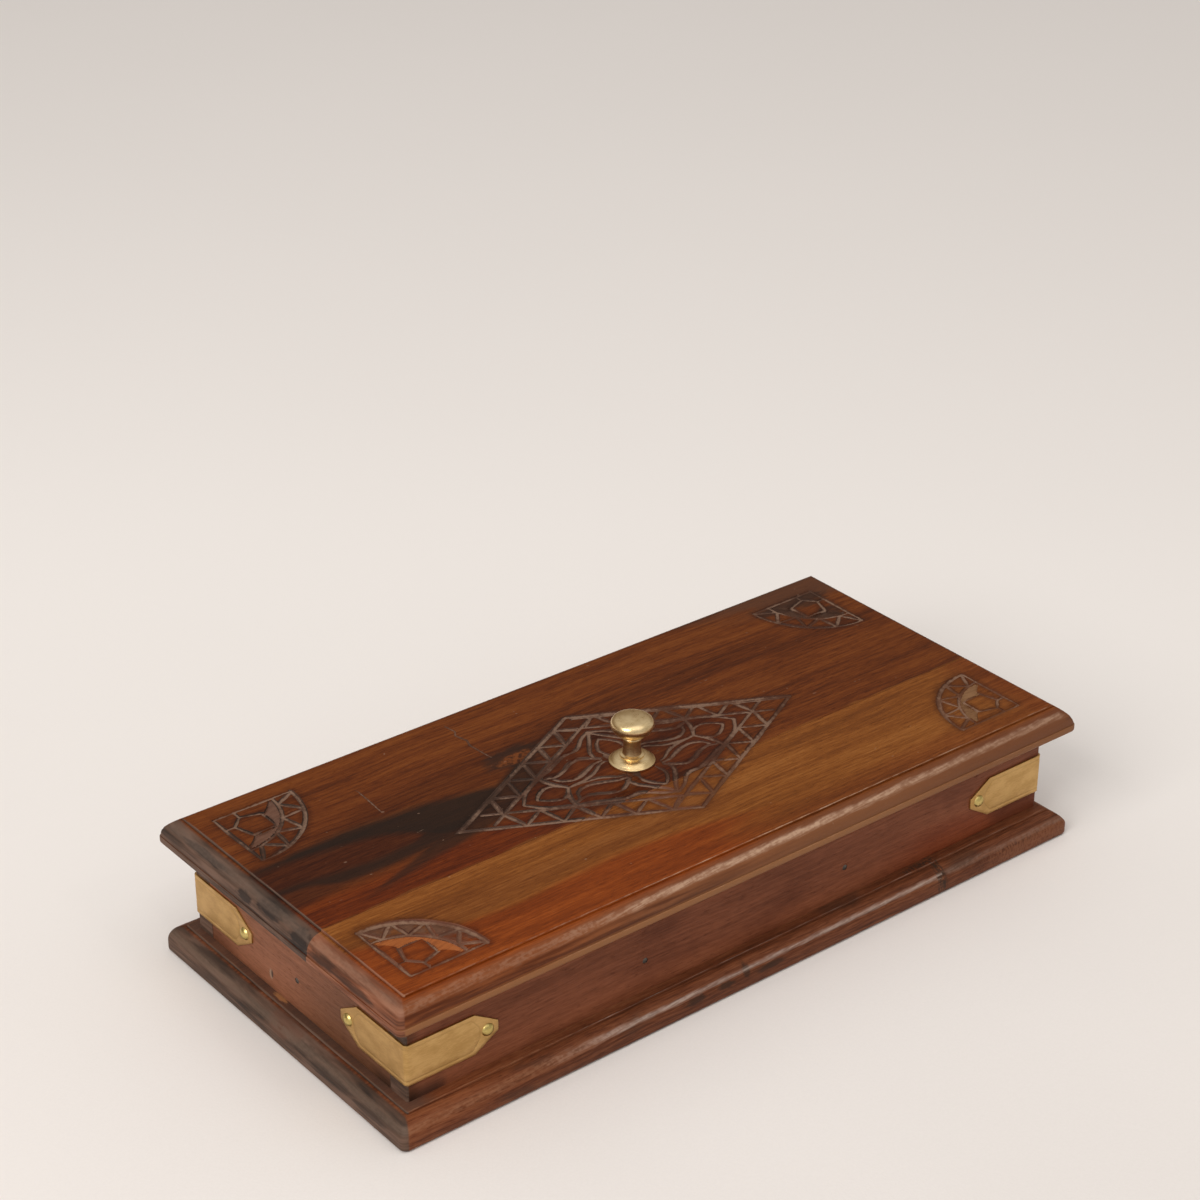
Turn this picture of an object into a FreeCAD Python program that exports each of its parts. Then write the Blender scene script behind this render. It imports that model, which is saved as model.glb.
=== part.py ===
import FreeCAD, Part
import math
import os

# A low wooden storage box. A nailed case stands on a moulded base under a moulded lid.
# Brass straps wrap the corners of the case, a brass knob stands on the lid, two butt hinges
# carry the lid at the rear, and crossed dividers make six compartments inside.
# Lengths are millimetres. X runs along the front from left to right, Y from front to rear,
# Z up, and the origin is the centre of the base's underside.

# Case: the front and rear walls run the full length, the end walls stand between them.
case_length = 335.0
case_width = 146.5
case_height = 39.6
wall_thickness = 10.5
wall_arris = 1.0

# Base and lid stand out past the case at the ends, and at the front and rear.
end_overhang = 10.0
side_overhang = 11.25
plate_corner_radius = 3.0

# Base moulding from the underside up: eased arris, upright edge, quarter round, small step.
base_arris = 1.5
base_edge = 4.9
base_round = 6.6
base_step = 1.0

# The base is a rear board and a front board, and the front board is pieced at the right.
base_front_board_width = 83.5
base_front_right_length = 76.1

# Lid moulding from the underside up: eased arris, lip, upright fillet, quarter round, step.
lid_arris = 1.2
lid_lip = 3.3
lid_lip_projection = 0.5
lid_upright = 1.4
lid_round = 6.8
lid_step = 1.0
lid_front_board_width = 60.8

# The base's right edge and the lid's right and rear edges are planed to flatter, bowed slopes.
base_slope_run = 8.0
base_slope_drop = 9.1
base_slope_bow = 1.2
lid_slope_inset = 2.2
lid_slope_run = 7.0
lid_slope_drop = 7.4
lid_slope_bow = 0.95

# Grooves carved in the lid's top. A lozenge round the knob has an outer and an inner line,
# with teeth between them, which stand at shares of a side from its end tip.
carving_depth = 0.6
lozenge_length = 176.0
lozenge_width = 90.0
lozenge_groove = 1.7
lozenge_tooth_shares = (0.275, 0.43, 0.582, 0.727, 0.882)
inner_lozenge_length = 131.0
inner_lozenge_width = 68.0
inner_lozenge_tooth_shares = (-0.02, 0.195, 0.39, 0.594, 0.79, 0.975)
inner_lozenge_overrun_share = 0.13
tooth_groove = 1.4

# Leaf strokes in one quarter of the lozenge, in arcs: end, middle, end, middle and so on,
# as shares of the inner lozenge's half length and half width.
leaf_groove = 1.7
leaf_shares = {
    "ogee": ((0.855, 0.0), (0.756, 0.221), (0.595, 0.382), (0.489, 0.456), (0.389, 0.547),
             (0.305, 0.612), (0.211, 0.618), (0.145, 0.685), (0.0, 0.882)),
    "cusp": ((0.595, 0.382), (0.573, 0.197), (0.511, 0.0)),
    "side_leaf": ((0.527, 0.044), (0.634, 0.159), (0.756, 0.0)),
    "smile": ((0.527, 0.253), (0.47, 0.126), (0.374, 0.112), (0.26, 0.203), (0.145, 0.25)),
    "wave": ((0.565, 0.324), (0.489, 0.282), (0.412, 0.329), (0.336, 0.412), (0.26, 0.435),
             (0.195, 0.376), (0.14, 0.288)),
    "rib": ((0.511, 0.0), (0.392, 0.015), (0.298, 0.053), (0.221, 0.135), (0.147, 0.2)),
    "shoulder": ((0.168, 0.309), (0.15, 0.456), (0.104, 0.582), (0.055, 0.706), (0.0, 0.853)),
    "end_leaf": ((0.081, 0.338), (0.079, 0.485), (0.0, 0.656)),
}

# A fan at each corner of the lid: a rim, a ring, teeth between them at shares of the quarter
# turn, and a petal between two chips, in shares of the rim's radius. The fans stand in from
# the lid's ends and sides, and differ a little in size.
fan_radius = 36.5
fan_rim_groove = 2.2
fan_ring_radius = 27.3
fan_groove = 1.6
fan_rim_tooth_shares = (0.011, 0.256, 0.506, 0.75, 0.989)
fan_ring_tooth_shares = (0.133, 0.372, 0.628, 0.867)
fan_petal_shares = ((0.115, 0.258), (0.258, 0.115), (0.504, 0.192), (0.474, 0.474))
fan_petal_foot_share = 0.258
fan_chip_depth = 0.9
fan_chip_shares = ((0.677, 0.036), (0.512, 0.205), (0.474, 0.474))
fan_end_insets = {"front_left": 16.3, "front_right": 20.0, "rear_right": 19.5, "rear_left": 15.8}
fan_side_insets = {"front_left": 15.7, "front_right": 16.5, "rear_right": 20.0, "rear_left": 18.2}
fan_size_shares = {"front_left": 0.96, "front_right": 0.93, "rear_right": 0.96, "rear_left": 1.0}

# Dividers: one along the box and two across it, lapped into each other.
compartments_in_row = 3
divider_thickness = 6.0
divider_drop = 4.0
lap_clearance = 0.1

# Brass corner straps, bent from sheet, with tapered ends.
strap_thickness = 0.8
strap_arm = 42.0
strap_height = 18.4
strap_taper = 11.0
strap_tip = 4.5
strap_rise = 17.0

# Domed brass nails that hold the straps, and the wood left behind their points.
strap_nail_inset = 5.0
strap_nail_head_radius = 2.8
strap_nail_dome = 1.5
strap_nail_radius = 0.8
strap_nail_point = 1.6
strap_nail_cover = 2.5

# Flat-headed nails: through the long walls into the end walls, and through all walls
# into the ends of the dividers.
nail_radius = 0.8
nail_head_radius = 1.25
nail_head_height = 0.8
nail_point = 1.8
wall_nail_bite = 15.5
wall_nail_spacing = 10.0
divider_nail_bite = 11.5
divider_nail_rise = 14.2

# Countersunk screws from below, through the base into the walls.
base_screw_radius = 1.75
base_screw_head_radius = 3.5
base_screw_head_height = 2.4
base_screw_point = 3.0
base_screw_bite = 11.5
base_screw_slot_width = 0.9
base_screw_slot_depth = 1.0
base_side_screw_shares = (-0.36, 0.0, 0.36)
base_end_screw_shares = (-0.2, 0.2)

# Turned knob, from the lid up: flange, ring, waisted neck, bead, mushroom cap.
knob_offset_x = -1.8
knob_offset_y = -1.4
knob_flange_radius = 9.7
knob_flange_edge = 1.1
knob_flange_rise = 2.1
knob_flange_bow = 0.35
knob_ring_radius = 5.2
knob_ring_height = 0.8
knob_neck_radius = 3.6
knob_neck_height = 3.9
knob_flare_height = 3.1
knob_flare_radius = 4.0
knob_neck_bow = 0.45
knob_bead_height = 1.1
knob_bead_bow = 0.55
knob_cap_radius = 9.2
knob_cap_under_height = 5.2
knob_cap_under_bow = 0.55
knob_crown_radius = 6.0
knob_rim_height = 3.6
knob_rim_bow = 0.95
knob_crown_height = 0.5

# Countersunk screw from under the lid into the knob.
knob_screw_radius = 2.0
knob_screw_head_radius = 4.0
knob_screw_head_height = 2.4
knob_screw_point = 1.0
knob_screw_bite = 9.0
knob_screw_slot_width = 1.0
knob_screw_slot_depth = 1.0

# Butt hinges: leaves let into the rear wall's top and the lid's underside,
# with the knuckle behind the rear wall under the lid's overhang.
hinge_length = 38.0
hinge_axis_offset = 3.0
hinge_place_share = 0.3
leaf_thickness = 1.2
leaf_gap = 0.15
leaf_inset = 1.5
leaf_clearance = 0.1
knuckle_radius = 2.5
knuckle_count = 5
knuckle_gap = 0.3
barrel_clearance = 0.4
pin_radius = 1.25
pin_clearance = 0.05
hinge_screw_radius = 1.2
hinge_screw_head_radius = 2.2
hinge_screw_head_height = 1.1
hinge_screw_length = 9.0
hinge_screw_point = 2.0
hinge_screw_slot_width = 0.6
hinge_screw_slot_depth = 0.6
hinge_screw_shares = (-0.34, 0.0, 0.34)

# Room between a nail or screw and its hole, and how far cutting shapes run past a face.
hole_clearance = 0.05
overrun = 2.0

# Sizes and places that follow from the ones above.
plate_length = case_length + 2 * end_overhang
plate_width = case_width + 2 * side_overhang
base_thickness = base_edge + base_round + base_step
lid_thickness = lid_lip + lid_upright + lid_round + lid_step
right_face = case_length / 2
rear_face = case_width / 2
inner_length = case_length - 2 * wall_thickness
inner_width = case_width - 2 * wall_thickness
rim = base_thickness + case_height
lid_top = rim + lid_thickness
base_seam = base_front_board_width - plate_width / 2
base_butt = plate_length / 2 - base_front_right_length
lid_seam = lid_front_board_width - plate_width / 2
divider_height = case_height - divider_drop
compartment_length = (inner_length - 2 * divider_thickness) / compartments_in_row
cross_place = (compartment_length + divider_thickness) / 2
strap_middle = base_thickness + strap_rise
strap_nail_length = strap_thickness + wall_thickness - strap_nail_cover
divider_nail_height = base_thickness + divider_nail_rise
hinge_axis_y = rear_face + hinge_axis_offset
leaf_front = rear_face - wall_thickness + leaf_inset
hinge_screw_row = (leaf_front + rear_face) / 2
knuckle_pitch = hinge_length / knuckle_count
hinge_places = {"left": -hinge_place_share * case_length, "right": hinge_place_share * case_length}

Vector = FreeCAD.Vector
origin = Vector(0, 0, 0)
along = Vector(1, 0, 0)
across = Vector(0, 1, 0)
up = Vector(0, 0, 1)
full_turn = 360


def block(x_range, y_range, z_range):
    low = Vector(x_range[0], y_range[0], z_range[0])
    high = Vector(x_range[1], y_range[1], z_range[1])
    size = high - low
    return Part.makeBox(size.x, size.y, size.z, low)


def span(points):
    # Two points make a straight line, three make an arc through the middle one.
    curve = Part.LineSegment(*points) if len(points) == 2 else Part.Arc(*points)
    return curve.toShape()


def chain(start, steps, plane):
    # A step of one point is a straight line, a step of two is an arc through the first.
    edges = []
    here = start
    for step in steps:
        edges.append(span([plane(*here)] + [plane(*point) for point in step]))
        here = step[-1]
    return edges


def filled(edges):
    return Part.Face(Part.Wire(Part.__sortEdges__(edges)))


def round_step(centre, radius, via_angle, end_angle):
    step = []
    for angle in (via_angle, end_angle):
        turn = math.radians(angle)
        step.append((centre[0] + radius * math.cos(turn), centre[1] + radius * math.sin(turn)))
    return step


def bowed_step(start, end, bow):
    # An arc to the end point, standing off its chord by the bow, to the right of travel.
    run = end[0] - start[0]
    rise = end[1] - start[1]
    chord = math.hypot(run, rise)
    middle = ((start[0] + end[0]) / 2, (start[1] + end[1]) / 2)
    return [(middle[0] + bow * rise / chord, middle[1] - bow * run / chord), end]


def dome_step(radius, rise, edge_height, out):
    # An arc between the axis and the edge of a round dome, centred on the axis.
    # The crown stands off the edge by the rise, up or down, and the arc goes to the edge or the crown.
    sphere = (radius ** 2 + rise ** 2) / (2 * abs(rise))
    half_angle = math.asin(radius / sphere) / 2
    drop = math.copysign(sphere * (1 - math.cos(half_angle)), rise)
    crown = (0, edge_height + rise)
    via = (sphere * math.sin(half_angle), crown[1] - drop)
    return [via, (radius, edge_height) if out else crown]


def turned(start, steps):
    # A solid of revolution about Z from an outline of radius and height.
    outline = chain(start, steps, lambda radius, height: Vector(radius, 0, height))
    return filled(outline).revolve(origin, up, full_turn)


def aimed(shape, spot, direction):
    placed = shape.copy()
    placed.Placement = FreeCAD.Placement(spot, FreeCAD.Rotation(up, direction))
    return placed


def drilled(solid, holes):
    return solid.cut(holes)


def straight_steps(points):
    return [[point] for point in points]


def shank_steps(outline, hole):
    # Outline of a nail or screw, driven along +Z from its head at zero, or of its hole.
    if not hole:
        return straight_steps(outline + [(0, 0)])
    mouth = [(outline[0][0] + hole_clearance, -overrun)]
    sides = [(radius + hole_clearance, depth + hole_clearance) for radius, depth in outline[:-1]]
    end = [(0, outline[-1][1] + hole_clearance)]
    return straight_steps(mouth + sides + end + [(0, -overrun)])


def driven(outline, hole):
    start = (0, -overrun) if hole else (0, 0)
    return turned(start, shank_steps(outline, hole))


def flat_nail(length, hole=False):
    outline = [
        (nail_head_radius, 0),
        (nail_head_radius, nail_head_height),
        (nail_radius, nail_head_height),
        (nail_radius, length - nail_point),
        (0, length),
    ]
    return driven(outline, hole)


def sunk_screw(radius, head_radius, head_height, length, point, slot_width, slot_depth, hole=False):
    outline = [
        (head_radius, 0),
        (radius, head_height),
        (radius, length - point),
        (0, length),
    ]
    screw = driven(outline, hole)
    if hole:
        return screw
    half = slot_width / 2
    reach = head_radius + overrun
    return screw.cut(block((-reach, reach), (-half, half), (-overrun, slot_depth)))


def base_screw(hole=False):
    return sunk_screw(base_screw_radius, base_screw_head_radius, base_screw_head_height,
                      base_thickness + base_screw_bite, base_screw_point,
                      base_screw_slot_width, base_screw_slot_depth, hole)


def knob_screw(hole=False):
    return sunk_screw(knob_screw_radius, knob_screw_head_radius, knob_screw_head_height,
                      lid_thickness + knob_screw_bite, knob_screw_point,
                      knob_screw_slot_width, knob_screw_slot_depth, hole)


def hinge_screw(hole=False):
    return sunk_screw(hinge_screw_radius, hinge_screw_head_radius, hinge_screw_head_height,
                      hinge_screw_length, hinge_screw_point,
                      hinge_screw_slot_width, hinge_screw_slot_depth, hole)


def strap_nail(hole=False):
    # The dome stands above zero, on the strap, and the shank goes in below it.
    shank_end = strap_nail_length - strap_nail_point
    if hole:
        outline = [(strap_nail_radius, 0), (strap_nail_radius, shank_end), (0, strap_nail_length)]
        return driven(outline, hole)
    crown = (0, -strap_nail_dome)
    dome = dome_step(strap_nail_head_radius, -strap_nail_dome, 0, out=True)
    below = [(strap_nail_radius, 0), (strap_nail_radius, shank_end), (0, strap_nail_length), crown]
    return turned(crown, [dome] + straight_steps(below))


def wall_nail_spots():
    spots = []
    for end in (-1, 1):
        x = end * (right_face - wall_thickness / 2)
        for level in (-1, 1):
            z = strap_middle + level * wall_nail_spacing / 2
            for side in (-1, 1):
                spots.append((Vector(x, side * rear_face, z), across * -side))
    return spots


def divider_nail_spots():
    spots = []
    for side in (-1, 1):
        for x in (-cross_place, cross_place):
            spots.append((Vector(x, side * rear_face, divider_nail_height), across * -side))
        spots.append((Vector(side * right_face, 0, divider_nail_height), along * -side))
    return spots


def base_screw_spots():
    spots = []
    for side in (-1, 1):
        y = side * (rear_face - wall_thickness / 2)
        spots += [(Vector(share * case_length, y, 0), up) for share in base_side_screw_shares]
        x = side * (right_face - wall_thickness / 2)
        spots += [(Vector(x, share * case_width, 0), up) for share in base_end_screw_shares]
    return spots


def hinge_screw_spots(level, direction):
    spots = []
    for middle in hinge_places.values():
        for share in hinge_screw_shares:
            spots.append((Vector(middle + share * hinge_length, hinge_screw_row, level), direction))
    return spots


def all_at(shape, spots):
    return [aimed(shape, spot, direction) for spot, direction in spots]


# Corners of the case, by the sides on which they stand.
corners = {
    "front_left": (-1, -1),
    "front_right": (1, -1),
    "rear_right": (1, 1),
    "rear_left": (-1, 1),
}


def at_corner(shape, corner):
    # The diagonal between a strap's two arms turns to point into the case.
    side_x, side_y = corners[corner]
    spot = Vector(side_x * right_face, side_y * rear_face, strap_middle)
    angle = math.degrees(math.atan2(-side_y, -side_x) - math.atan2(1, 1))
    turn = FreeCAD.Placement(spot, FreeCAD.Rotation(up, angle))
    placed = shape.copy()
    placed.Placement = turn.multiply(placed.Placement)
    return placed


def strap_nail_pair(hole=False):
    reach = strap_arm - strap_nail_inset
    spots = [(Vector(reach, -strap_thickness, 0), across), (Vector(-strap_thickness, reach, 0), along)]
    return all_at(strap_nail(hole), spots)


def strap_arm_plate(plane, push):
    half = strap_height / 2
    tip = strap_tip / 2
    shoulder = strap_arm - strap_taper
    start = (wall_arris, -half)
    outline = [(shoulder, -half), (strap_arm, -tip), (strap_arm, tip), (shoulder, half),
               (wall_arris, half), start]
    return filled(chain(start, straight_steps(outline), plane)).extrude(push)


def corner_strap():
    # Modelled about the case's outer corner, with arms along +X and +Y.
    half = strap_height / 2
    centre = (wall_arris, wall_arris)
    inner = round_step(centre, wall_arris, 225, 180)
    outer = round_step(centre, wall_arris + strap_thickness, 225, 270)
    start = (wall_arris, 0)
    bend_steps = [inner, [(-strap_thickness, wall_arris)], outer, [start]]
    bend_face = filled(chain(start, bend_steps, lambda x, y: Vector(x, y, -half)))
    bend = bend_face.extrude(up * strap_height)
    x_arm = strap_arm_plate(lambda run, z: Vector(run, 0, z), across * -strap_thickness)
    y_arm = strap_arm_plate(lambda run, z: Vector(0, run, z), along * -strap_thickness)
    strap = bend.fuse([x_arm, y_arm]).removeSplitter()
    return drilled(strap, strap_nail_pair(hole=True))


def eased(solid, x, y, radius):
    # Round the upright arrises that stand at plus and minus x on the outer side at y.
    chosen = []
    for edge in solid.Edges:
        first = edge.Vertexes[0].Point
        last = edge.Vertexes[-1].Point
        upright = math.isclose(first.x, last.x) and math.isclose(first.y, last.y)
        if upright and math.isclose(abs(first.x), x) and math.isclose(abs(first.y), y):
            chosen.append(edge)
    return solid.makeFillet(radius, chosen)


def moulded_slab(start, steps, bottom):
    # The moulding runs round all four edges and meets in mitres at the corners.
    def prism(half_run, half_width, point, push):
        near = chain(start, steps, lambda inset, z: point(-half_run, inset - half_width, z))
        far = chain(start, steps, lambda inset, z: point(-half_run, half_width - inset, z))
        closing = []
        for inset, z in (start, steps[-1][-1]):
            ends = [point(-half_run, side * (half_width - inset), z) for side in (-1, 1)]
            closing.append(Part.LineSegment(*ends).toShape())
        return filled(near + far + closing).extrude(push * (2 * half_run))

    half_length = plate_length / 2
    half_width = plate_width / 2
    long_run = prism(half_length, half_width, lambda x, y, z: Vector(x, y, z), along)
    cross_run = prism(half_width, half_length, lambda y, x, z: Vector(x, y, z), across)
    height = steps[-1][-1][1]
    plan = block((-half_length, half_length), (-half_width, half_width), (0, height))
    plan = eased(plan, half_length, half_width, plate_corner_radius)
    slab = long_run.common(cross_run).common(plan)
    slab.translate(up * bottom)
    return slab


def base_slab():
    steps = [
        round_step((base_arris, base_arris), base_arris, 225, 180),
        [(0, base_edge)],
        round_step((base_round, base_edge), base_round, 135, 90),
        [(base_round, base_thickness)],
    ]
    return moulded_slab((base_arris, 0), steps, 0)


def lid_slab():
    shoulder = lid_lip + lid_upright
    field = lid_lip_projection + lid_round
    steps = [
        round_step((lid_arris, lid_arris), lid_arris, 225, 180),
        [(0, lid_lip)],
        [(lid_lip_projection, lid_lip)],
        [(lid_lip_projection, shoulder)],
        round_step((field, shoulder), lid_round, 135, 90),
        [(field, lid_thickness)],
    ]
    return moulded_slab((lid_arris, 0), steps, rim)


def planed_off(way_in, run, bow, top, plane, push):
    # What is planed off above a bowed slope, whose foot ends the way in from outside.
    foot = way_in[-1]
    brow = (foot[0] - run, top)
    outside = (way_in[0][0] + overrun, way_in[0][1])
    over = [(brow[0], top + overrun), (outside[0], top + overrun), outside]
    steps = straight_steps(way_in) + [bowed_step(foot, brow, bow)] + straight_steps(over)
    return filled(chain(outside, steps, plane)).extrude(push)


def right_planing(way_in, run, bow, top):
    far = plate_width / 2 + overrun
    return planed_off(way_in, run, bow, top, lambda x, z: Vector(x, -far, z), across * (2 * far))


def rear_planing(way_in, run, bow, top):
    far = plate_length / 2 + overrun
    return planed_off(way_in, run, bow, top, lambda y, z: Vector(-far, y, z), along * (2 * far))


def base_planing():
    foot = (plate_length / 2, base_thickness - base_slope_drop)
    return [right_planing([foot], base_slope_run, base_slope_bow, base_thickness)]


def lid_planing():
    # The slopes end above the lip, and the fillet over the lip is eased to meet them.
    def way_in(edge):
        fillet = (edge - lid_lip_projection, rim + lid_lip + lid_upright / 2)
        return [fillet, (edge - lid_slope_inset, lid_top - lid_slope_drop)]

    return [right_planing(way_in(plate_length / 2), lid_slope_run, lid_slope_bow, lid_top),
            rear_planing(way_in(plate_width / 2), lid_slope_run, lid_slope_bow, lid_top)]


def above_lid(x, y):
    return Vector(x, y, lid_top + overrun)


def groove(points, width):
    # The plan of one groove about its middle line, which is a straight line or an arc.
    line = [above_lid(*point) for point in points]
    if len(line) == 2:
        outwards = [up.cross(line[1] - line[0]).normalize()] * 2
    else:
        centre = span(line).Curve.Center
        outwards = [(point - centre).normalize() for point in line]
    outer = [point + out * (width / 2) for point, out in zip(line, outwards)]
    inner = [point - out * (width / 2) for point, out in zip(line, outwards)]
    ends = [span([outer[0], inner[0]]), span([outer[-1], inner[-1]])]
    return filled([span(outer), span(inner)] + ends)


def lozenge_grooves(side_x, side_y):
    # One quarter of the lozenge and its leaves.
    def at(x, y):
        return (knob_offset_x + side_x * x / 2, knob_offset_y + side_y * y / 2)

    def outer(share):
        return at(lozenge_length * (1 - share), lozenge_width * share)

    def inner(share):
        return at(inner_lozenge_length * (1 - share), inner_lozenge_width * share)

    past = inner_lozenge_overrun_share
    plans = [groove([outer(0), outer(1)], lozenge_groove)]
    plans.append(groove([inner(-past), inner(1 + past)], lozenge_groove))
    for number, share in enumerate(lozenge_tooth_shares):
        for foot in inner_lozenge_tooth_shares[number:number + 2]:
            plans.append(groove([inner(foot), outer(share)], tooth_groove))
    for shares in leaf_shares.values():
        points = [at(x * inner_lozenge_length, y * inner_lozenge_width) for x, y in shares]
        plans += [groove(points[first:first + 3], leaf_groove) for first in range(0, len(points) - 2, 2)]
    return plans


def fan_plans(corner):
    # The plans of one fan's grooves and of its two chips.
    side_x, side_y = corners[corner]
    centre_x = side_x * (plate_length / 2 - fan_end_insets[corner])
    centre_y = side_y * (plate_width / 2 - fan_side_insets[corner])
    size = fan_size_shares[corner]

    def at(x, y):
        return (centre_x - side_x * size * x, centre_y - side_y * size * y)

    def polar(radius, share):
        turn = math.radians(share * full_turn / 4)
        return (radius * math.cos(turn), radius * math.sin(turn))

    def mirrored(points):
        return [(y, x) for x, y in points]

    def curved(radius, width):
        return groove([at(*polar(radius, share)) for share in (0, 1 / 2, 1)], width)

    def straight(points):
        places = [at(*point) for point in points]
        return [groove(list(pair), fan_groove) for pair in zip(places, places[1:])]

    rim_teeth = [polar(fan_radius, share) for share in fan_rim_tooth_shares]
    ring_teeth = [polar(fan_ring_radius, share) for share in fan_ring_tooth_shares]
    teeth = [rim_teeth[0]]
    for ring_tooth, rim_tooth in zip(ring_teeth, rim_teeth[1:]):
        teeth += [ring_tooth, rim_tooth]
    petal = [(x * fan_radius, y * fan_radius) for x, y in fan_petal_shares]
    foot = fan_petal_foot_share * fan_radius
    plans = [curved(fan_radius, fan_rim_groove), curved(fan_ring_radius, fan_groove)]
    plans += straight([(fan_radius, 0), (0, 0), (0, fan_radius)]) + straight(teeth)
    plans += straight(petal) + straight(mirrored(petal[1:]))
    plans += straight([(foot, 0), petal[1]]) + straight([(0, foot), petal[0]])

    chip = [(x * fan_radius, y * fan_radius) for x, y in fan_chip_shares]
    first = math.degrees(math.atan2(chip[0][1], chip[0][0])) / (full_turn / 4)
    rim_arc = [polar(fan_ring_radius, share) for share in (1 / 2, (first + 1 / 2) / 2, first)]
    chips = []
    for points, arc in ((chip, rim_arc), (mirrored(chip), mirrored(rim_arc))):
        steps = straight_steps(points[1:] + arc[:1]) + [arc[1:]] + straight_steps(points[:1])
        chips.append(filled(chain(points[0], steps, lambda x, y: above_lid(*at(x, y)))))
    return plans, chips


def lid_carving():
    plans = []
    chips = []
    for corner, sides in corners.items():
        plans += lozenge_grooves(*sides)
        fan_grooves, fan_chips = fan_plans(corner)
        plans += fan_grooves
        chips += fan_chips
    grooves = Part.makeShell(plans[0].fuse(plans[1:]).Faces).removeSplitter()
    cuts = [face.extrude(up * -(overrun + carving_depth)) for face in grooves.Faces]
    return cuts + [face.extrude(up * -(overrun + fan_chip_depth)) for face in chips]


def board(slab, x_range, y_range, z_range):
    # The part of a moulded slab between its seams.
    z_cut = (z_range[0] - overrun, z_range[1] + overrun)
    return slab.common(block(x_range, y_range, z_cut))


def base_boards():
    slab = drilled(base_slab(), all_at(base_screw(hole=True), base_screw_spots()) + base_planing())
    far_x = plate_length / 2 + overrun
    far_y = plate_width / 2 + overrun
    levels = (0, base_thickness)
    return {
        "base_rear_board": board(slab, (-far_x, far_x), (base_seam, far_y), levels),
        "base_front_left_board": board(slab, (-far_x, base_butt), (-far_y, base_seam), levels),
        "base_front_right_board": board(slab, (base_butt, far_x), (-far_y, base_seam), levels),
    }


def hinge_room(middle):
    # Space in the lid's underside for one hinge's lid leaf and its knuckles.
    half = hinge_length / 2 + leaf_clearance
    leaf_room = block((middle - half, middle + half), (leaf_front - leaf_clearance, hinge_axis_y),
                      (rim - overrun, rim + leaf_gap + leaf_thickness))
    barrel = Part.makeCylinder(knuckle_radius + barrel_clearance, 2 * half,
                               Vector(middle - half, hinge_axis_y, rim), along)
    return [leaf_room, barrel]


def lid_boards():
    cuts = [aimed(knob_screw(hole=True), Vector(knob_offset_x, knob_offset_y, rim), up)]
    for middle in hinge_places.values():
        cuts += hinge_room(middle)
    cuts += all_at(hinge_screw(hole=True), hinge_screw_spots(rim + leaf_gap, up))
    slab = drilled(lid_slab(), cuts + lid_planing()).cut(lid_carving())
    far_x = plate_length / 2 + overrun
    far_y = plate_width / 2 + overrun
    levels = (rim, lid_top)
    return {
        "lid_rear_board": board(slab, (-far_x, far_x), (lid_seam, far_y), levels),
        "lid_front_board": board(slab, (-far_x, far_x), (-far_y, lid_seam), levels),
    }


def fastener_holes():
    holes = all_at(flat_nail(wall_thickness + wall_nail_bite, hole=True), wall_nail_spots())
    holes += all_at(flat_nail(wall_thickness + divider_nail_bite, hole=True), divider_nail_spots())
    holes += all_at(base_screw(hole=True), base_screw_spots())
    for corner in corners:
        holes += [at_corner(hole, corner) for hole in strap_nail_pair(hole=True)]
    return holes


def walls():
    levels = (base_thickness, rim)
    half_inner = inner_width / 2
    long_x = (-right_face, right_face)
    front = eased(block(long_x, (-rear_face, -half_inner), levels), right_face, rear_face, wall_arris)
    rear = eased(block(long_x, (half_inner, rear_face), levels), right_face, rear_face, wall_arris)
    holes = fastener_holes()
    rear_cuts = all_at(hinge_screw(hole=True), hinge_screw_spots(rim - leaf_gap, -up))
    for middle in hinge_places.values():
        half = hinge_length / 2 + leaf_clearance
        rear_cuts.append(block((middle - half, middle + half),
                               (leaf_front - leaf_clearance, rear_face + overrun),
                               (rim - leaf_gap - leaf_thickness, rim + overrun)))
    end_y = (-half_inner, half_inner)
    left = block((-right_face, wall_thickness - right_face), end_y, levels)
    right = block((right_face - wall_thickness, right_face), end_y, levels)
    return {
        "front_wall": drilled(front, holes),
        "rear_wall": drilled(rear, holes + rear_cuts),
        "left_wall": drilled(left, holes),
        "right_wall": drilled(right, holes),
    }


def dividers():
    # The long divider is notched from above and the cross dividers from below.
    floor = base_thickness
    top = floor + divider_height
    lap = floor + divider_height / 2
    half = divider_thickness / 2
    slot = half + lap_clearance
    holes = all_at(flat_nail(wall_thickness + divider_nail_bite, hole=True), divider_nail_spots())
    long_x = (-inner_length / 2, inner_length / 2)
    cross_y = (-inner_width / 2, inner_width / 2)
    notches = [block((x - slot, x + slot), (-divider_thickness, divider_thickness),
                     (lap - lap_clearance / 2, top + overrun)) for x in (-cross_place, cross_place)]
    pieces = {"long_divider": drilled(block(long_x, (-half, half), (floor, top)), notches + holes)}
    for name, x in (("left_cross_divider", -cross_place), ("right_cross_divider", cross_place)):
        plain = block((x - half, x + half), cross_y, (floor, top))
        notch = block((x - divider_thickness, x + divider_thickness), (-slot, slot),
                      (floor - overrun, lap + lap_clearance / 2))
        pieces[name] = drilled(plain, [notch] + holes)
    return pieces


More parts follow.
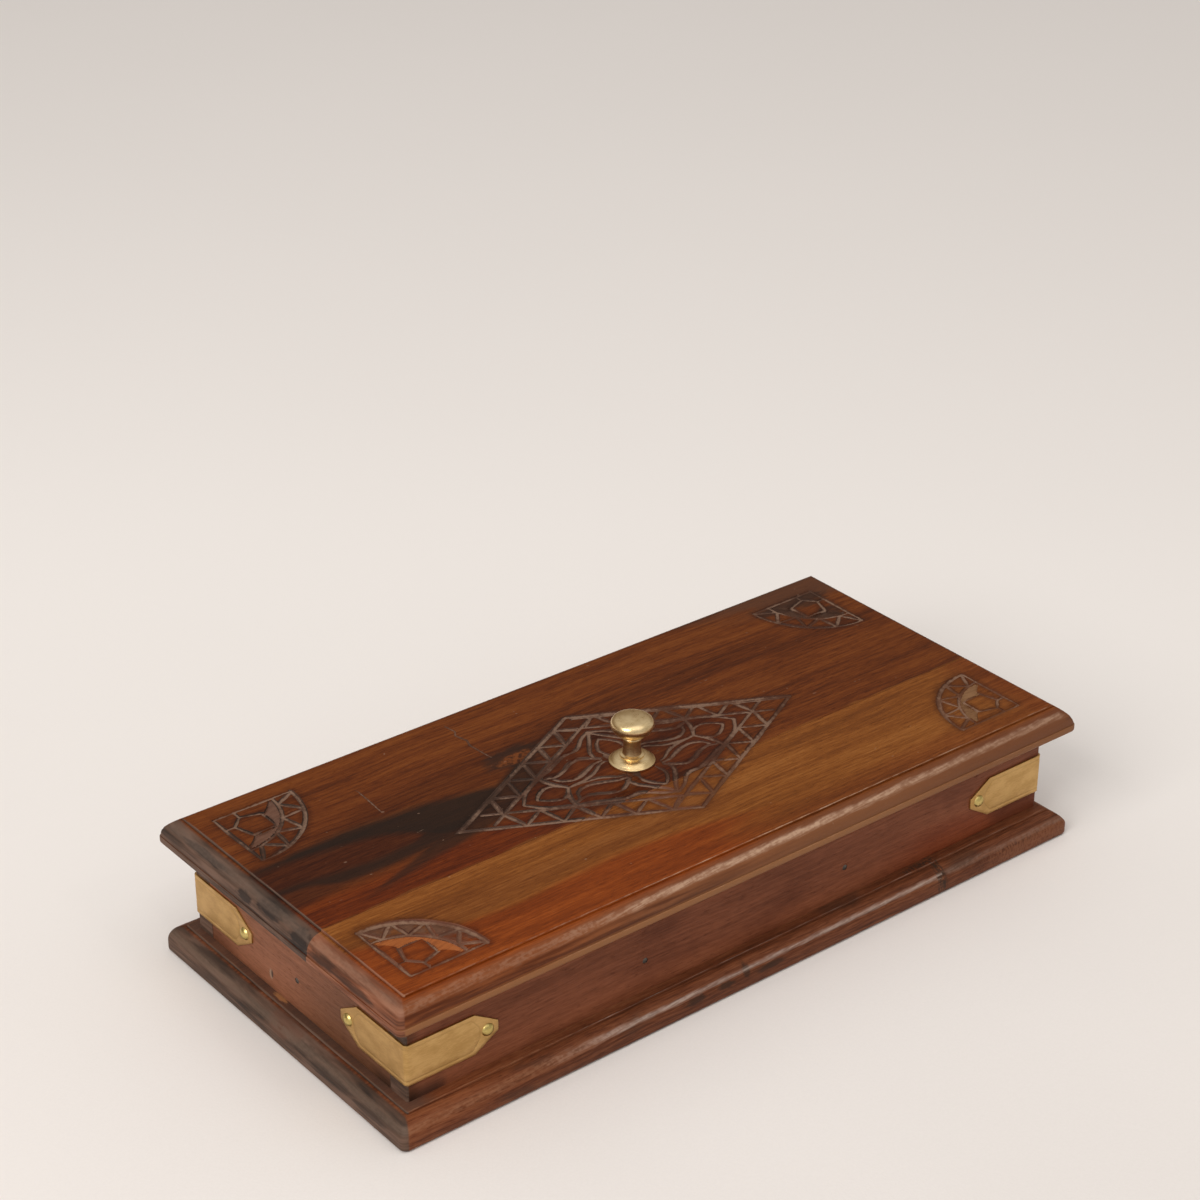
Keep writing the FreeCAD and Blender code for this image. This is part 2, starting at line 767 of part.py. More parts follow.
def knob():
    edge = (knob_flange_radius, knob_flange_edge)
    ring_foot = (knob_ring_radius, knob_flange_edge + knob_flange_rise)
    ring_top = (knob_ring_radius, ring_foot[1] + knob_ring_height)
    waist = (knob_neck_radius, ring_top[1] + knob_neck_height)
    bead_foot = (knob_flare_radius, waist[1] + knob_flare_height)
    bead_top = (knob_flare_radius, bead_foot[1] + knob_bead_height)
    widest = (knob_cap_radius, bead_top[1] + knob_cap_under_height)
    crown_edge = (knob_crown_radius, widest[1] + knob_rim_height)
    start = (0, 0)
    steps = [
        [(knob_flange_radius, 0)],
        [edge],
        bowed_step(edge, ring_foot, knob_flange_bow),
        [ring_top],
        bowed_step(ring_top, waist, -knob_neck_bow),
        [bead_foot],
        bowed_step(bead_foot, bead_top, knob_bead_bow),
        bowed_step(bead_top, widest, knob_cap_under_bow),
        bowed_step(widest, crown_edge, knob_rim_bow),
        dome_step(knob_crown_radius, knob_crown_height, crown_edge[1], out=False),
        [start],
    ]
    solid = aimed(turned(start, steps), Vector(knob_offset_x, knob_offset_y, lid_top), up)
    return drilled(solid, [aimed(knob_screw(hole=True), Vector(knob_offset_x, knob_offset_y, rim), up)])


def hinge(side):
    middle = hinge_places[side]
    start = middle - hinge_length / 2
    axis_point = Vector(start, hinge_axis_y, rim)

    def barrel(radius, first, last):
        return Part.makeCylinder(radius, last - first, axis_point + along * first, along)

    def leaf(own, level, screw_direction):
        z_range = sorted((rim + level * leaf_gap, rim + level * (leaf_gap + leaf_thickness)))
        plate = block((start, start + hinge_length), (leaf_front, hinge_axis_y), z_range)
        knuckles = []
        reliefs = []
        for number in range(knuckle_count):
            first = number * knuckle_pitch
            last = first + knuckle_pitch
            if number % 2 == own:
                near = first + knuckle_gap / 2 if number else first
                far = last - knuckle_gap / 2 if number < knuckle_count - 1 else last
                knuckles.append(barrel(knuckle_radius, near, far))
            else:
                reliefs.append(barrel(knuckle_radius + knuckle_gap, first - knuckle_gap / 2,
                                      last + knuckle_gap / 2))
        screw_spots = hinge_screw_spots(rim + level * leaf_gap, screw_direction)
        holes = all_at(hinge_screw(hole=True), screw_spots)
        bore = barrel(pin_radius + pin_clearance, -overrun, hinge_length + overrun)
        return plate.cut(reliefs).fuse(knuckles).cut(holes + [bore])

    return {
        side + "_hinge_case_leaf": leaf(0, -1, -up),
        side + "_hinge_lid_leaf": leaf(1, 1, up),
        side + "_hinge_pin": barrel(pin_radius, 0, hinge_length),
    }


def fastener_groups():
    strap_nails = []
    for corner in corners:
        strap_nails += [at_corner(nail, corner) for nail in strap_nail_pair()]
    groups = {
        "corner_strap_nails": strap_nails,
        "wall_nails": all_at(flat_nail(wall_thickness + wall_nail_bite), wall_nail_spots()),
        "divider_nails": all_at(flat_nail(wall_thickness + divider_nail_bite), divider_nail_spots()),
        "base_screws": all_at(base_screw(), base_screw_spots()),
        "hinge_case_screws": all_at(hinge_screw(), hinge_screw_spots(rim - leaf_gap, -up)),
        "hinge_lid_screws": all_at(hinge_screw(), hinge_screw_spots(rim + leaf_gap, up)),
    }
    return {name: Part.makeCompound(solids) for name, solids in groups.items()}


def all_pieces():
    pieces = {}
    pieces.update(base_boards())
    pieces.update(walls())
    pieces.update(dividers())
    pieces.update(lid_boards())
    pieces["knob"] = knob()
    pieces["knob_screw"] = aimed(knob_screw(), Vector(knob_offset_x, knob_offset_y, rim), up)
    for corner in corners:
        pieces[corner + "_corner_strap"] = at_corner(corner_strap(), corner)
    for side in hinge_places:
        pieces.update(hinge(side))
    pieces.update(fastener_groups())
    return pieces


os.makedirs("parts", exist_ok=True)
for name, shape in all_pieces().items():
    shape.exportStep("parts/" + name + ".step")
    print(name, len(shape.Solids), "solid(s)", round(shape.Volume), "cubic mm", shape.isValid())
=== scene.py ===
import math

import bmesh
import bpy
import numpy as np
from mathutils import Matrix, Vector, noise
from mathutils.geometry import delaunay_2d_cdt


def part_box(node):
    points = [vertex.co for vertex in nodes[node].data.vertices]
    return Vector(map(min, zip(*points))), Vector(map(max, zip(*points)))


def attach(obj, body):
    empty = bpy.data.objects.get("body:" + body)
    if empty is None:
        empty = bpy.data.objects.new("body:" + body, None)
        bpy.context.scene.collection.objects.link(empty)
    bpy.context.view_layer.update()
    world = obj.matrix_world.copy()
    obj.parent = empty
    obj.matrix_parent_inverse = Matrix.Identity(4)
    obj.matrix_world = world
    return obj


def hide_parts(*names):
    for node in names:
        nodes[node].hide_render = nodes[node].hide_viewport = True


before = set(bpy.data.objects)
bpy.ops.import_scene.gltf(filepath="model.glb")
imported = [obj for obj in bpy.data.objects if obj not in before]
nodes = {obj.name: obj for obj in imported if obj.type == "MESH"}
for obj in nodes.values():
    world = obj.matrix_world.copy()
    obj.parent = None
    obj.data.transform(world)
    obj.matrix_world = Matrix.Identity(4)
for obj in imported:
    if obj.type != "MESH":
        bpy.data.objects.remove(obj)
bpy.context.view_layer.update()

# Sizes below are in millimetres; the frame and the meshes are in metres.
mm = 0.001
scene = bpy.context.scene


def boxOf(node):
    low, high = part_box(node)
    return np.array(low) / mm, np.array(high) / mm


knobLow, knobHigh = boxOf("knob")
knobPlace = 0.5 * (knobLow + knobHigh)[:2]
# Corner, size and rim width of each carved fan.
fanPlaces = {(-1, 1): (-161.7, 66.3, 1.0, 2.4), (-1, -1): (-161.2, -68.8, 0.96, 3.6),
             (1, 1): (158.0, 64.5, 0.96, 2.2), (1, -1): (157.5, -68.0, 0.93, 2.6)}
lidLow = boxOf("lid_rear_board")[0]
# The vector noise that dents the mouldings follows this seed.
noise.seed_set(7)


def sway(seed, step):
    # A smooth wander between -1 and 1, the same in every run.
    return noise.noise(Vector((step, seed * 7.31, 0.5)))


def addNode(tree, kind, settings, sockets):
    node = tree.nodes.new(kind)
    for name, value in settings.items():
        if name == "stops":
            ramp = node.color_ramp.elements
            while len(ramp) < len(value):
                ramp.new(1.0)
            for stop, (position, colour) in zip(ramp, value):
                stop.position = position
                stop.color = (*colour, 1.0)
        elif name == "points":
            curve = node.mapping.curves[0].points
            while len(curve) < len(value):
                curve.new(1.0, 1.0)
            for point, location in zip(curve, value):
                point.location = location
            node.mapping.update()
        else:
            setattr(node, name, value)
    for key, value in sockets.items():
        socket = node.inputs[key]
        if isinstance(value, Wire):
            tree.links.new(value.socket, socket)
        elif socket.type == "RGBA":
            socket.default_value = (*value, 1.0)
        else:
            socket.default_value = value
    return node


class Wire:
    def __init__(self, tree, socket):
        self.tree = tree
        self.socket = socket

    def node(self, kind, settings, sockets, output=0):
        made = addNode(self.tree, kind, settings, sockets)
        return Wire(self.tree, made.outputs[output])

    def maths(self, operation, first, second):
        return self.node("ShaderNodeMath", {"operation": operation}, {0: first, 1: second})

    def __add__(self, other):
        return self.maths("ADD", self, other)

    def __radd__(self, other):
        return self.maths("ADD", other, self)

    def __sub__(self, other):
        return self.maths("SUBTRACT", self, other)

    def __rsub__(self, other):
        return self.maths("SUBTRACT", other, self)

    def __mul__(self, other):
        return self.maths("MULTIPLY", self, other)

    def __rmul__(self, other):
        return self.maths("MULTIPLY", other, self)

    def __truediv__(self, other):
        return self.maths("DIVIDE", self, other)

    def __rtruediv__(self, other):
        return self.maths("DIVIDE", other, self)

    def single(self, operation):
        return self.node("ShaderNodeMath", {"operation": operation}, {0: self})

    def __abs__(self):
        return self.single("ABSOLUTE")


def soft(value, low, high):
    return value.node("ShaderNodeMapRange", {"interpolation_type": "SMOOTHSTEP"},
                      {"Value": value, "From Min": low, "From Max": high})


def larger(first, second):
    return first.maths("MAXIMUM", first, second)


def blend(first, second, factor, kind="MIX"):
    return factor.node("ShaderNodeMix", {"data_type": "RGBA", "blend_type": kind},
                       {0: factor, 6: first, 7: second}, 2)


def tinted(colour, tint, factor):
    return blend(colour, tint, factor, "MULTIPLY")


def ramped(tone, stops):
    return tone.node("ShaderNodeValToRGB", {"stops": stops}, {0: tone})


def combined(x, y, z=0.0):
    return x.node("ShaderNodeCombineXYZ", {}, {"X": x, "Y": y, "Z": z})


def part(vector, index):
    return vector.node("ShaderNodeSeparateXYZ", {}, {0: vector}, index)


def parts(vector):
    return [part(vector, index) for index in range(3)]


def vectorMaths(operation, first, second, output=0):
    return first.node("ShaderNodeVectorMath", {"operation": operation}, {0: first, 1: second}, output)


def mottle(place, scales, detail, seed, output=0):
    # Cloudy noise; the scales are features per millimetre along each axis.
    moved = vectorMaths("ADD", vectorMaths("MULTIPLY", place, scales), (seed, seed * 1.7, seed * 0.6))
    return place.node("ShaderNodeTexNoise", {}, {"Vector": moved, "Scale": 1.0, "Detail": detail}, output)


def mark(place, name):
    return place.node("ShaderNodeAttribute", {"attribute_name": name}, {}, "Fac")


def spot(place, centre, radii, ragged):
    # A soft-edged oval patch with a wandering outline.
    shifted = vectorMaths("SUBTRACT", place, (*centre, 0.0))
    flat = vectorMaths("MULTIPLY", shifted, (1.0 / radii[0], 1.0 / radii[1], 0.0))
    reach = vectorMaths("LENGTH", flat, (0.0, 0.0, 0.0), "Value")
    rough = mottle(place, (2.2 / radii[0], 2.2 / radii[1], 0.0), 3.0, centre[0])
    return soft(reach + (rough - 0.5) * ragged, 1.15, 0.6)


def traced(value, points):
    # A curve through the given places: heights over a running coordinate.
    points = np.array(points, float)
    low, high = points.min(axis=0), points.max(axis=0)
    shares = (points - low) / (high - low)
    along = (value - low[0]) / (high[0] - low[0])
    settings = {"points": [tuple(share) for share in shares]}
    curve = value.node("ShaderNodeFloatCurve", settings, {"Value": along})
    return curve * (high[1] - low[1]) + low[1]


def streak(place, upper, lower, ragged, edge):
    # The patch between two traced edges that run along the board.
    rough = mottle(place, (0.03, 0.14, 0.0), 4.0, upper[0][1])
    x = part(place, 0)
    y = part(place, 1) + (rough - 0.5) * ragged
    top = soft(y - traced(x, upper), edge, -edge)
    bottom = soft(y - traced(x, lower), -edge, edge)
    ends = soft(x, upper[-1][0] + 2.0, upper[-1][0] - 12.0)
    return top * bottom * ends


def startMaterial(name):
    material = bpy.data.materials.new(name)
    material.use_nodes = True
    tree = material.node_tree
    tree.nodes.clear()
    coordinates = tree.nodes.new("ShaderNodeTexCoord")
    metres = Wire(tree, coordinates.outputs["Object"])
    normal = Wire(tree, coordinates.outputs["Normal"])
    place = metres.node("ShaderNodeVectorMath", {"operation": "SCALE"}, {0: metres, "Scale": 1.0 / mm})
    return material, place, normal


def finishMaterial(material, sockets, height, depth):
    tree = material.node_tree
    bump = height.node("ShaderNodeBump", {}, {"Strength": 1.0, "Distance": depth * mm, "Height": height})
    shader = addNode(tree, "ShaderNodeBsdfPrincipled", {}, {**sockets, "Normal": bump})
    output = tree.nodes.new("ShaderNodeOutputMaterial")
    tree.links.new(shader.outputs[0], output.inputs[0])
    return material


def woodMaterial(name, look, marks=None, endMarks=None):
    material, straight, normal = startMaterial(name)
    along = look["along"]
    lay = np.roll((0.0, 1.0, 1.0), along)
    run = np.roll((1.0, 0.0, 0.0), along)
    seed = look["seed"]
    x, y, z = parts(straight)

    def grain(place, length, width, detail, shift):
        scales = run / length + lay / width
        return mottle(place, tuple(scales), detail, seed + shift)

    # The fibres wander a little from the board's length.
    drift = mottle(straight, (0.012, 0.012, 0.02), 2.0, seed + 3.0, 1)
    lean = vectorMaths("MULTIPLY", vectorMaths("SUBTRACT", drift, (0.5, 0.5, 0.5)),
                       tuple(lay * look["wander"]))
    place = vectorMaths("ADD", straight, lean)
    bands = grain(place, 240.0, look["bandWidth"], 3.0, 0.0)
    streaks = grain(place, 45.0, 1.2, 4.0, 11.0)
    fibres = grain(place, 7.0, 0.4, 3.0, 23.0)
    tone = soft(bands * 0.4 + streaks * 0.3 + fibres * 0.3, 0.34, 0.66)
    colour = ramped(tone, look["shades"])
    pores = soft(grain(place, 4.0, 0.3, 2.0, 31.0), 0.57, 0.7)
    colour = tinted(colour, (0.35, 0.28, 0.25), pores * 0.5)
    if marks:
        colour = marks(straight, colour)

    # Ends of the fibres are duller, with stains drawn out along the edge.
    facing = abs(part(normal, along))
    ends = soft(facing, 0.05, 0.3) * (1.0 - soft(x, -20.0, 20.0) * look["endsFade"])
    blotch = mottle(straight, (0.03, 0.022, 0.16), 3.0, seed + 5.0)
    rings = mottle(straight, (0.08, 0.05, 0.9), 3.0, seed + 41.0)
    endTone = soft(blotch * 0.6 + rings * 0.4, 0.34, 0.66)
    endColour = ramped(endTone, look["ends"])
    colour = blend(colour, endColour, ends)
    if endMarks:
        colour = endMarks(straight, colour)

    # Rubbed crowns and arrises are paler, partly from wear and partly as a painted highlight where the crowns
    # catch the light, with flecks along the edge; inner corners and the seam are darker.
    wear = mark(straight, "wear")
    patchy = mottle(straight, (0.035, 0.035, 0.3), 4.0, seed + 7.0)
    scratchy = grain(straight, 9.0, 0.6, 3.0, 53.0)
    chatter = mottle(straight, (0.55, 0.55, 0.8), 3.0, seed + 9.0)
    edgeRun = x + y
    slant = combined(edgeRun, z - edgeRun * 0.05)
    rope = mottle(slant, (0.12, 1.9, 0.0), 5.0, seed + 13.0)
    far = soft(x + (patchy - 0.5) * 60.0, *look["rubAndHighlightTurn"])
    least = look["rubAndHighlightLeast"]
    kept = (least + far * (1.0 - least)) * (1.0 - soft(x, 40.0, 130.0) * look["rubAndHighlightEase"])
    loose = (rope - 0.5) * look["rope"] + (patchy - 0.5) * 0.4 - far * look["rubAndHighlightNarrow"]
    flecks = soft(rope * 0.5 + chatter * 0.5, 0.4, 0.6)
    even = larger(look["rubAndHighlightEven"] * (0.3 + far * 0.7), ends * 0.7)
    rubAndHighlight = soft(wear + loose, 0.1, 0.8) * soft(wear, 0.05, 0.3) * kept * (even + flecks * (1.0 - even))
    pale = blend(blend(look["rubAndHighlight"], look["rubAndHighlightFar"], far), look["rubAndHighlightEnd"], ends)
    colour = blend(colour, pale, rubAndHighlight * look["rubAndHighlightShare"])
    creaseAndSeamDark = soft(wear, -0.25, -0.95)
    colour = tinted(colour, (0.4, 0.36, 0.34), creaseAndSeamDark * 0.35)

    # Carved strokes have dull middles that come and go, with painted shade beside them and down their flanks.
    cut = mark(straight, "cut")
    chip = mark(straight, "chip")
    soot = mark(straight, "soot")
    fade = mottle(straight, (0.06, 0.06, 0.0), 3.0, seed + 15.0)
    shadeBeside = soft(soot + (chatter - 0.5) * 0.8, 0.1, 1.1)
    colour = tinted(colour, (0.46, 0.4, 0.4), shadeBeside * 0.75)
    # Painted shade down the flanks of the grooves.
    colour = tinted(colour, (0.5, 0.44, 0.44), soft(cut, 0.0, 0.25) * 0.55)
    stroke = soft(cut + (scratchy - 0.5) * 0.3 + (chatter - 0.5) * 0.5, 0.14, 0.6)
    dull = blend(look["cut"], look["cutPale"], soft(fade + (chatter - 0.5) * 0.6, 0.42, 0.62))
    colour = blend(colour, dull, stroke * (0.3 + soft(fade, 0.36, 0.6) * 0.48))
    raw = blend(look["chip"], look["chipFar"], soft(x, -40.0, 40.0))
    raw = tinted(raw, (0.5, 0.42, 0.4), soft(scratchy * 0.6 + fade * 0.4, 0.4, 0.62) * 0.6)
    broken = soft(chip + (scratchy - 0.5) * 0.7 + (chatter - 0.5) * 0.6, 0.25, 0.75)
    colour = blend(colour, raw, broken * 0.85)

    sheen = look["rough"] + (bands - 0.5) * 0.12 + pores * 0.15 + ends * 0.12 + cut * 0.2 + rubAndHighlight * 0.05
    height = streaks * 0.35 + fibres * 0.35 - pores * 0.5 + patchy * 0.6 + rope * wear * 0.6
    sockets = {"Base Color": colour, "Roughness": sheen, "Specular IOR Level": look["shine"]}
    return finishMaterial(material, sockets, height, look["relief"])


def brassMaterial(name, look):
    material, place = startMaterial(name)[:2]
    cloud = mottle(place, (0.12, 0.12, 0.2), 4.0, look["seed"])
    fine = mottle(place, (0.5, 0.5, 3.5), 3.0, look["seed"] + 4.0)
    pits = soft(mottle(place, (1.4, 1.4, 1.4), 3.0, look["seed"] + 9.0), 0.64, 0.74)
    tone = soft(cloud * 0.6 + fine * 0.4, 0.35, 0.65)
    colour = ramped(tone, look["shades"])
    cut = mark(place, "cut")
    tarnish = larger(pits * look["pits"], soft(cut, 0.1, 0.9) * 0.25)
    colour = blend(colour, look["tarnish"], tarnish)
    rough = look["rough"] + (fine - 0.5) * 0.16 + tarnish * 0.2
    sockets = {"Base Color": colour, "Roughness": rough, "Metallic": 1.0}
    return finishMaterial(material, sockets, fine * 0.5 - pits * look["pits"] + cloud, look["relief"])


def endPlace(place):
    # The place on the left or right end: along the depth, then up.
    return combined(part(place, 1), part(place, 2))


def patches(place, rows):
    found = None
    for centre, radii, ragged in rows:
        made = spot(place, centre, radii, ragged)
        found = larger(found, made) if found else made
    return found


def aboveUnderside(z, bare, marked):
    # The lid's underside keeps the bare wood.
    return blend(bare, marked, soft(z, lidLow[2] + 0.3, lidLow[2] + 1.1))


def lidRearMarks(place, colour):
    x, y, z = parts(place)
    bare = colour
    loose = mottle(place, (0.012, 0.06, 0.0), 4.0, 19.0)
    # A red-orange band lies behind the seam, which has a ragged golden edge.
    warm = soft(y + (loose - 0.5) * 10.0, -3.0, -10.0) * soft(x, -30.0, -75.0)
    colour = tinted(colour, (1.25, 0.9, 0.55), warm * 0.9)
    ragged = mottle(place, (0.06, 0.3, 0.0), 4.0, 27.0)
    golden = soft(y + (ragged - 0.5) * 5.0, -22.6, -24.0)
    colour = blend(colour, (0.2, 0.07, 0.014), golden * 0.7)
    # The carved field is darker than the board round it.
    field = soft(abs(x - knobPlace[0]) / 72.0 + abs(y - knobPlace[1]) / 37.0, 1.05, 0.85)
    colour = tinted(colour, (0.8, 0.66, 0.66), field * 0.9)
    flames = patches(place, (((-9.0, -24.0), (13.0, 2.6), 1.4), ((10.0, -22.5), (9.0, 2.4), 1.4),
                             ((4.0, 23.0), (12.0, 3.0), 1.4), ((-38.0, 9.0), (8.0, 3.0), 1.4)))
    colour = tinted(colour, (0.42, 0.4, 0.5), flames * 0.8)
    cool = spot(place, (-118.0, 38.0), (60.0, 13.0), 0.8)
    colour = tinted(colour, (0.78, 0.72, 0.78), cool * 0.7)
    # Two black streaks run from the left end to the carving and close round a redder island.
    shadow = streak(place, ((-178, 26), (-120, 21), (-100, 10), (-80, 5)),
                    ((-178, -9), (-160, -7), (-140, -5), (-100, -2), (-80, 0)), 6.0, 4.0)
    colour = tinted(colour, (0.5, 0.46, 0.75), shadow * 0.85)
    upper = streak(
        place, ((-178, 25), (-160, 25), (-148, 27), (-120, 27), (-100, 25.5), (-80, 22.5), (-50, 17)),
        ((-178, 22), (-148, 21), (-120, 16), (-107, 11), (-100, 5), (-92, 0), (-80, 2), (-50, 14)), 6.0, 3.2)
    lower = streak(
        place, ((-178, 8), (-150, 6), (-140, 5), (-120, 3), (-108, 4), (-98, 9), (-86, 10)),
        ((-178, 5), (-160, 4), (-150, 0), (-140, -3), (-120, -3), (-100, -1.8), (-86, 0)), 5.0, 2.2)
    corner = streak(place, ((-91, 4), (-67, 14), (-48, 23), (-28, 33)),
                    ((-91, -8), (-70, -3), (-54, 6), (-36, 16), (-28, 22)), 4.0, 2.0)
    black = larger(larger(upper, lower * 0.85), corner * 0.8)
    colour = blend(colour, (0.019, 0.0115, 0.0075), black * 0.9)
    ring = spot(place, (-37.0, 31.5), (18.0, 8.0), 1.0)
    heart = spot(place, (-38.0, 30.0), (10.5, 4.2), 1.3)
    colour = blend(colour, (0.028, 0.015, 0.01), ring * 0.75)
    glow = soft(mottle(place, (0.5, 0.5, 0.0), 3.0, 5.0), 0.35, 0.6)
    amber = blend((0.07, 0.02, 0.006), (0.23, 0.066, 0.014), glow)
    colour = blend(colour, amber, heart * 0.85)
    dusk = streak(place, ((0, 45), (40, 46), (120, 44)), ((0, 36), (40, 38), (120, 37)), 9.0, 4.0)
    colour = tinted(colour, (0.6, 0.56, 0.6), dusk * 0.6)
    grey = spot(place, (170.0, 74.0), (75.0, 18.0), 0.9)
    colour = blend(colour, (0.082, 0.036, 0.02), grey * 0.7)
    smudge = patches(place, (((151.0, 59.0), (12.0, 6.0), 1.2), ((136.0, 60.0), (15.0, 4.5), 1.2),
                             ((152.0, 45.0), (7.0, 5.0), 1.2)))
    colour = blend(colour, (0.03, 0.015, 0.01), smudge * 0.7)
    colour = tinted(colour, (0.72, 0.58, 0.58), soft(x, 166.0, 174.0) * 0.7)
    specks = soft(mottle(place, (0.3, 0.45, 0.0), 1.0, 61.0), 0.77, 0.81)
    colour = blend(colour, (0.26, 0.16, 0.11), specks * 0.4)
    return aboveUnderside(z, bare, colour)


def leftStains(rows, stain, share):
    # Stains on a board's left end, placed by depth and height.
    def stained(place, colour):
        left = soft(part(place, 0), -155.0, -168.0)
        return blend(colour, stain, patches(endPlace(place), rows) * left * share)
    return stained


lidRearEnds = leftStains((((20.0, 59.0), (6.0, 2.2), 1.3), ((4.0, 60.6), (9.0, 2.4), 1.3),
                          ((-18.0, 59.6), (7.0, 3.4), 1.3), ((50.0, 61.5), (18.0, 1.3), 1.3)),
                         (0.021, 0.017, 0.016), 0.8)
lidFrontEnds = leftStains((((-34.0, 58.5), (9.0, 2.6), 1.2), ((-56.0, 57.6), (14.0, 1.8), 1.2)),
                          (0.045, 0.022, 0.015), 0.75)


def lidFrontMarks(place, colour):
    x, y, z = parts(place)
    bare = colour
    # Olive along the middle, red along the front's left half and the right end, golden elsewhere.
    loose = mottle(place, (0.012, 0.06, 0.0), 4.0, 17.0)
    olive = soft(abs(y + 46.0 + (loose - 0.5) * 18.0), 9.0, 2.0) * soft(x, 40.0, -20.0)
    colour = tinted(colour, (0.72, 0.66, 0.72), olive * 0.7)
    edge = traced(x, ((-180, -41), (-150, -48), (-110, -54), (-60, -53), (-20, -55), (10, -60), (60, -72)))
    front = soft(y - edge + (loose - 0.5) * 12.0, 2.5, -2.5)
    left = soft(x + (loose - 0.5) * 60.0, 40.0, -20.0)
    colour = tinted(colour, (1.0, 0.58, 0.36), front * left * 0.85)
    rightEnd = soft(x + (loose - 0.5) * 18.0, 142.0, 166.0)
    edges = larger(rightEnd, soft(y + (loose - 0.5) * 14.0, -60.0, -74.0) * 0.7)
    colour = tinted(colour, (0.72, 0.52, 0.55), edges * soft(x, -10.0, 30.0) * 0.85)
    # The moulding along the front is a duller brown, more so to the right; its lip is golden.
    brown = soft(y, -77.0, -81.0)
    right = soft(x + (loose - 0.5) * 80.0, -130.0, -30.0)
    colour = blend(colour, (0.195, 0.08, 0.036), brown * (0.45 + right * 0.4))
    # The upward-facing top of the crown is painted darker, more so to the right: painted shade.
    colour = tinted(colour, (0.78, 0.68, 0.68), brown * soft(z, 61.0, 62.5) * right * 0.8)
    # The hollow above the lip is streaked with dark to the left: partly dark streaks in the wood, partly
    # painted shade.
    streaky = mottle(place, (0.03, 0.3, 0.55), 4.0, 29.0)
    hollow = brown * soft(z, 61.0, 59.6) * soft(z, 55.6, 56.6)
    hollow = hollow * soft(x + (loose - 0.5) * 120.0, 60.0, -70.0)
    colour = tinted(colour, (0.42, 0.36, 0.38), hollow * soft(streaky, 0.36, 0.62) * 0.9)
    lip = soft(z, 56.2, 55.2) * brown
    colour = blend(colour, (0.275, 0.125, 0.052), lip * 0.8)
    colour = tinted(colour, (0.78, 0.72, 0.74), brown * soft(x, 60.0, 130.0) * 0.7)
    # The left fan's rim is smeared with dull residue.
    cornerX, cornerY = fanPlaces[-1, -1][:2]
    flat = vectorMaths("MULTIPLY", vectorMaths("SUBTRACT", place, (cornerX, cornerY, 0.0)), (1.0, 1.0, 0.0))
    reach = vectorMaths("LENGTH", flat, (0.0, 0.0, 0.0), "Value")
    smear = soft(reach, 26.0, 28.5) * soft(reach, 35.5, 34.0)
    smear = smear * soft(mottle(place, (0.2, 0.2, 0.0), 4.0, 83.0), 0.3, 0.6)
    smear = smear * soft(y, -66.0, -62.0) * soft(x, -161.5, -159.0)
    colour = blend(colour, (0.14, 0.074, 0.048), smear * 0.75)
    specks = soft(mottle(place, (0.3, 0.45, 0.0), 1.0, 67.0), 0.78, 0.82)
    colour = blend(colour, (0.34, 0.22, 0.14), specks * 0.35)
    return aboveUnderside(z, bare, colour)


def baseMarks(place, colour):
    # Dark stains in patches along the edge.
    x, y, z = parts(place)
    stain = soft(mottle(place, (0.022, 0.03, 0.1), 4.0, 71.0), 0.56, 0.68)
    colour = blend(colour, (0.045, 0.024, 0.016), stain * 0.5)
    warm = soft(x, -90.0, -150.0)
    colour = tinted(colour, (1.1, 0.97, 0.85), warm * 0.6)
    nicks = patches(combined(x, z), (((-9.0, 8.0), (2.0, 3.0), 1.0), ((-36.0, 6.0), (6.0, 1.8), 1.2),
                                     ((-20.0, 6.4), (5.0, 1.6), 1.2), ((4.0, 6.0), (8.0, 1.8), 1.2)))
    colour = blend(colour, (0.03, 0.018, 0.012), nicks * soft(y, -76.0, -79.0) * 0.7)
    flecks = mottle(place, (1.1, 0.5, 0.5), 3.0, 73.0)
    rosy = soft(x + (flecks - 0.5) * 40.0, 118.0, 146.0) * soft(z, 10.5, 7.5)
    colour = blend(colour, (0.21, 0.078, 0.036), rosy * soft(flecks, 0.3, 0.6) * 0.75)
    joint = patches(place, (((101.0, -84.0), (2.6, 14.0), 1.6), ((93.0, -76.0), (11.0, 2.2), 1.4)))
    return blend(colour, (0.028, 0.022, 0.016), joint * soft(flecks, 0.35, 0.6) * 0.75)


def baseEnds(place, colour):
    side = endPlace(place)
    left = soft(part(place, 0), -155.0, -165.0)
    dark = patches(side, (((-16.0, 8.0), (9.0, 2.4), 1.3), ((-36.0, 6.4), (18.0, 2.6), 1.3),
                          ((-62.0, 5.6), (12.0, 2.2), 1.3), ((50.0, 10.5), (20.0, 1.2), 1.2)))
    colour = blend(colour, (0.026, 0.02, 0.017), dark * left * 0.55)
    rosy = patches(side, (((0.0, 8.6), (9.0, 4.0), 1.3), ((-8.0, 9.6), (7.0, 2.0), 1.2)))
    colour = blend(colour, (0.12, 0.056, 0.037), rosy * left * 0.6)
    ledge = soft(part(place, 2), 12.0, 12.4) * left
    colour = blend(colour, (0.085, 0.05, 0.037), ledge * 0.7)
    chipped = spot(place, (-168.3, 11.5), (1.3, 5.0), 0.8)
    return blend(colour, (0.34, 0.15, 0.06), chipped * 0.85)


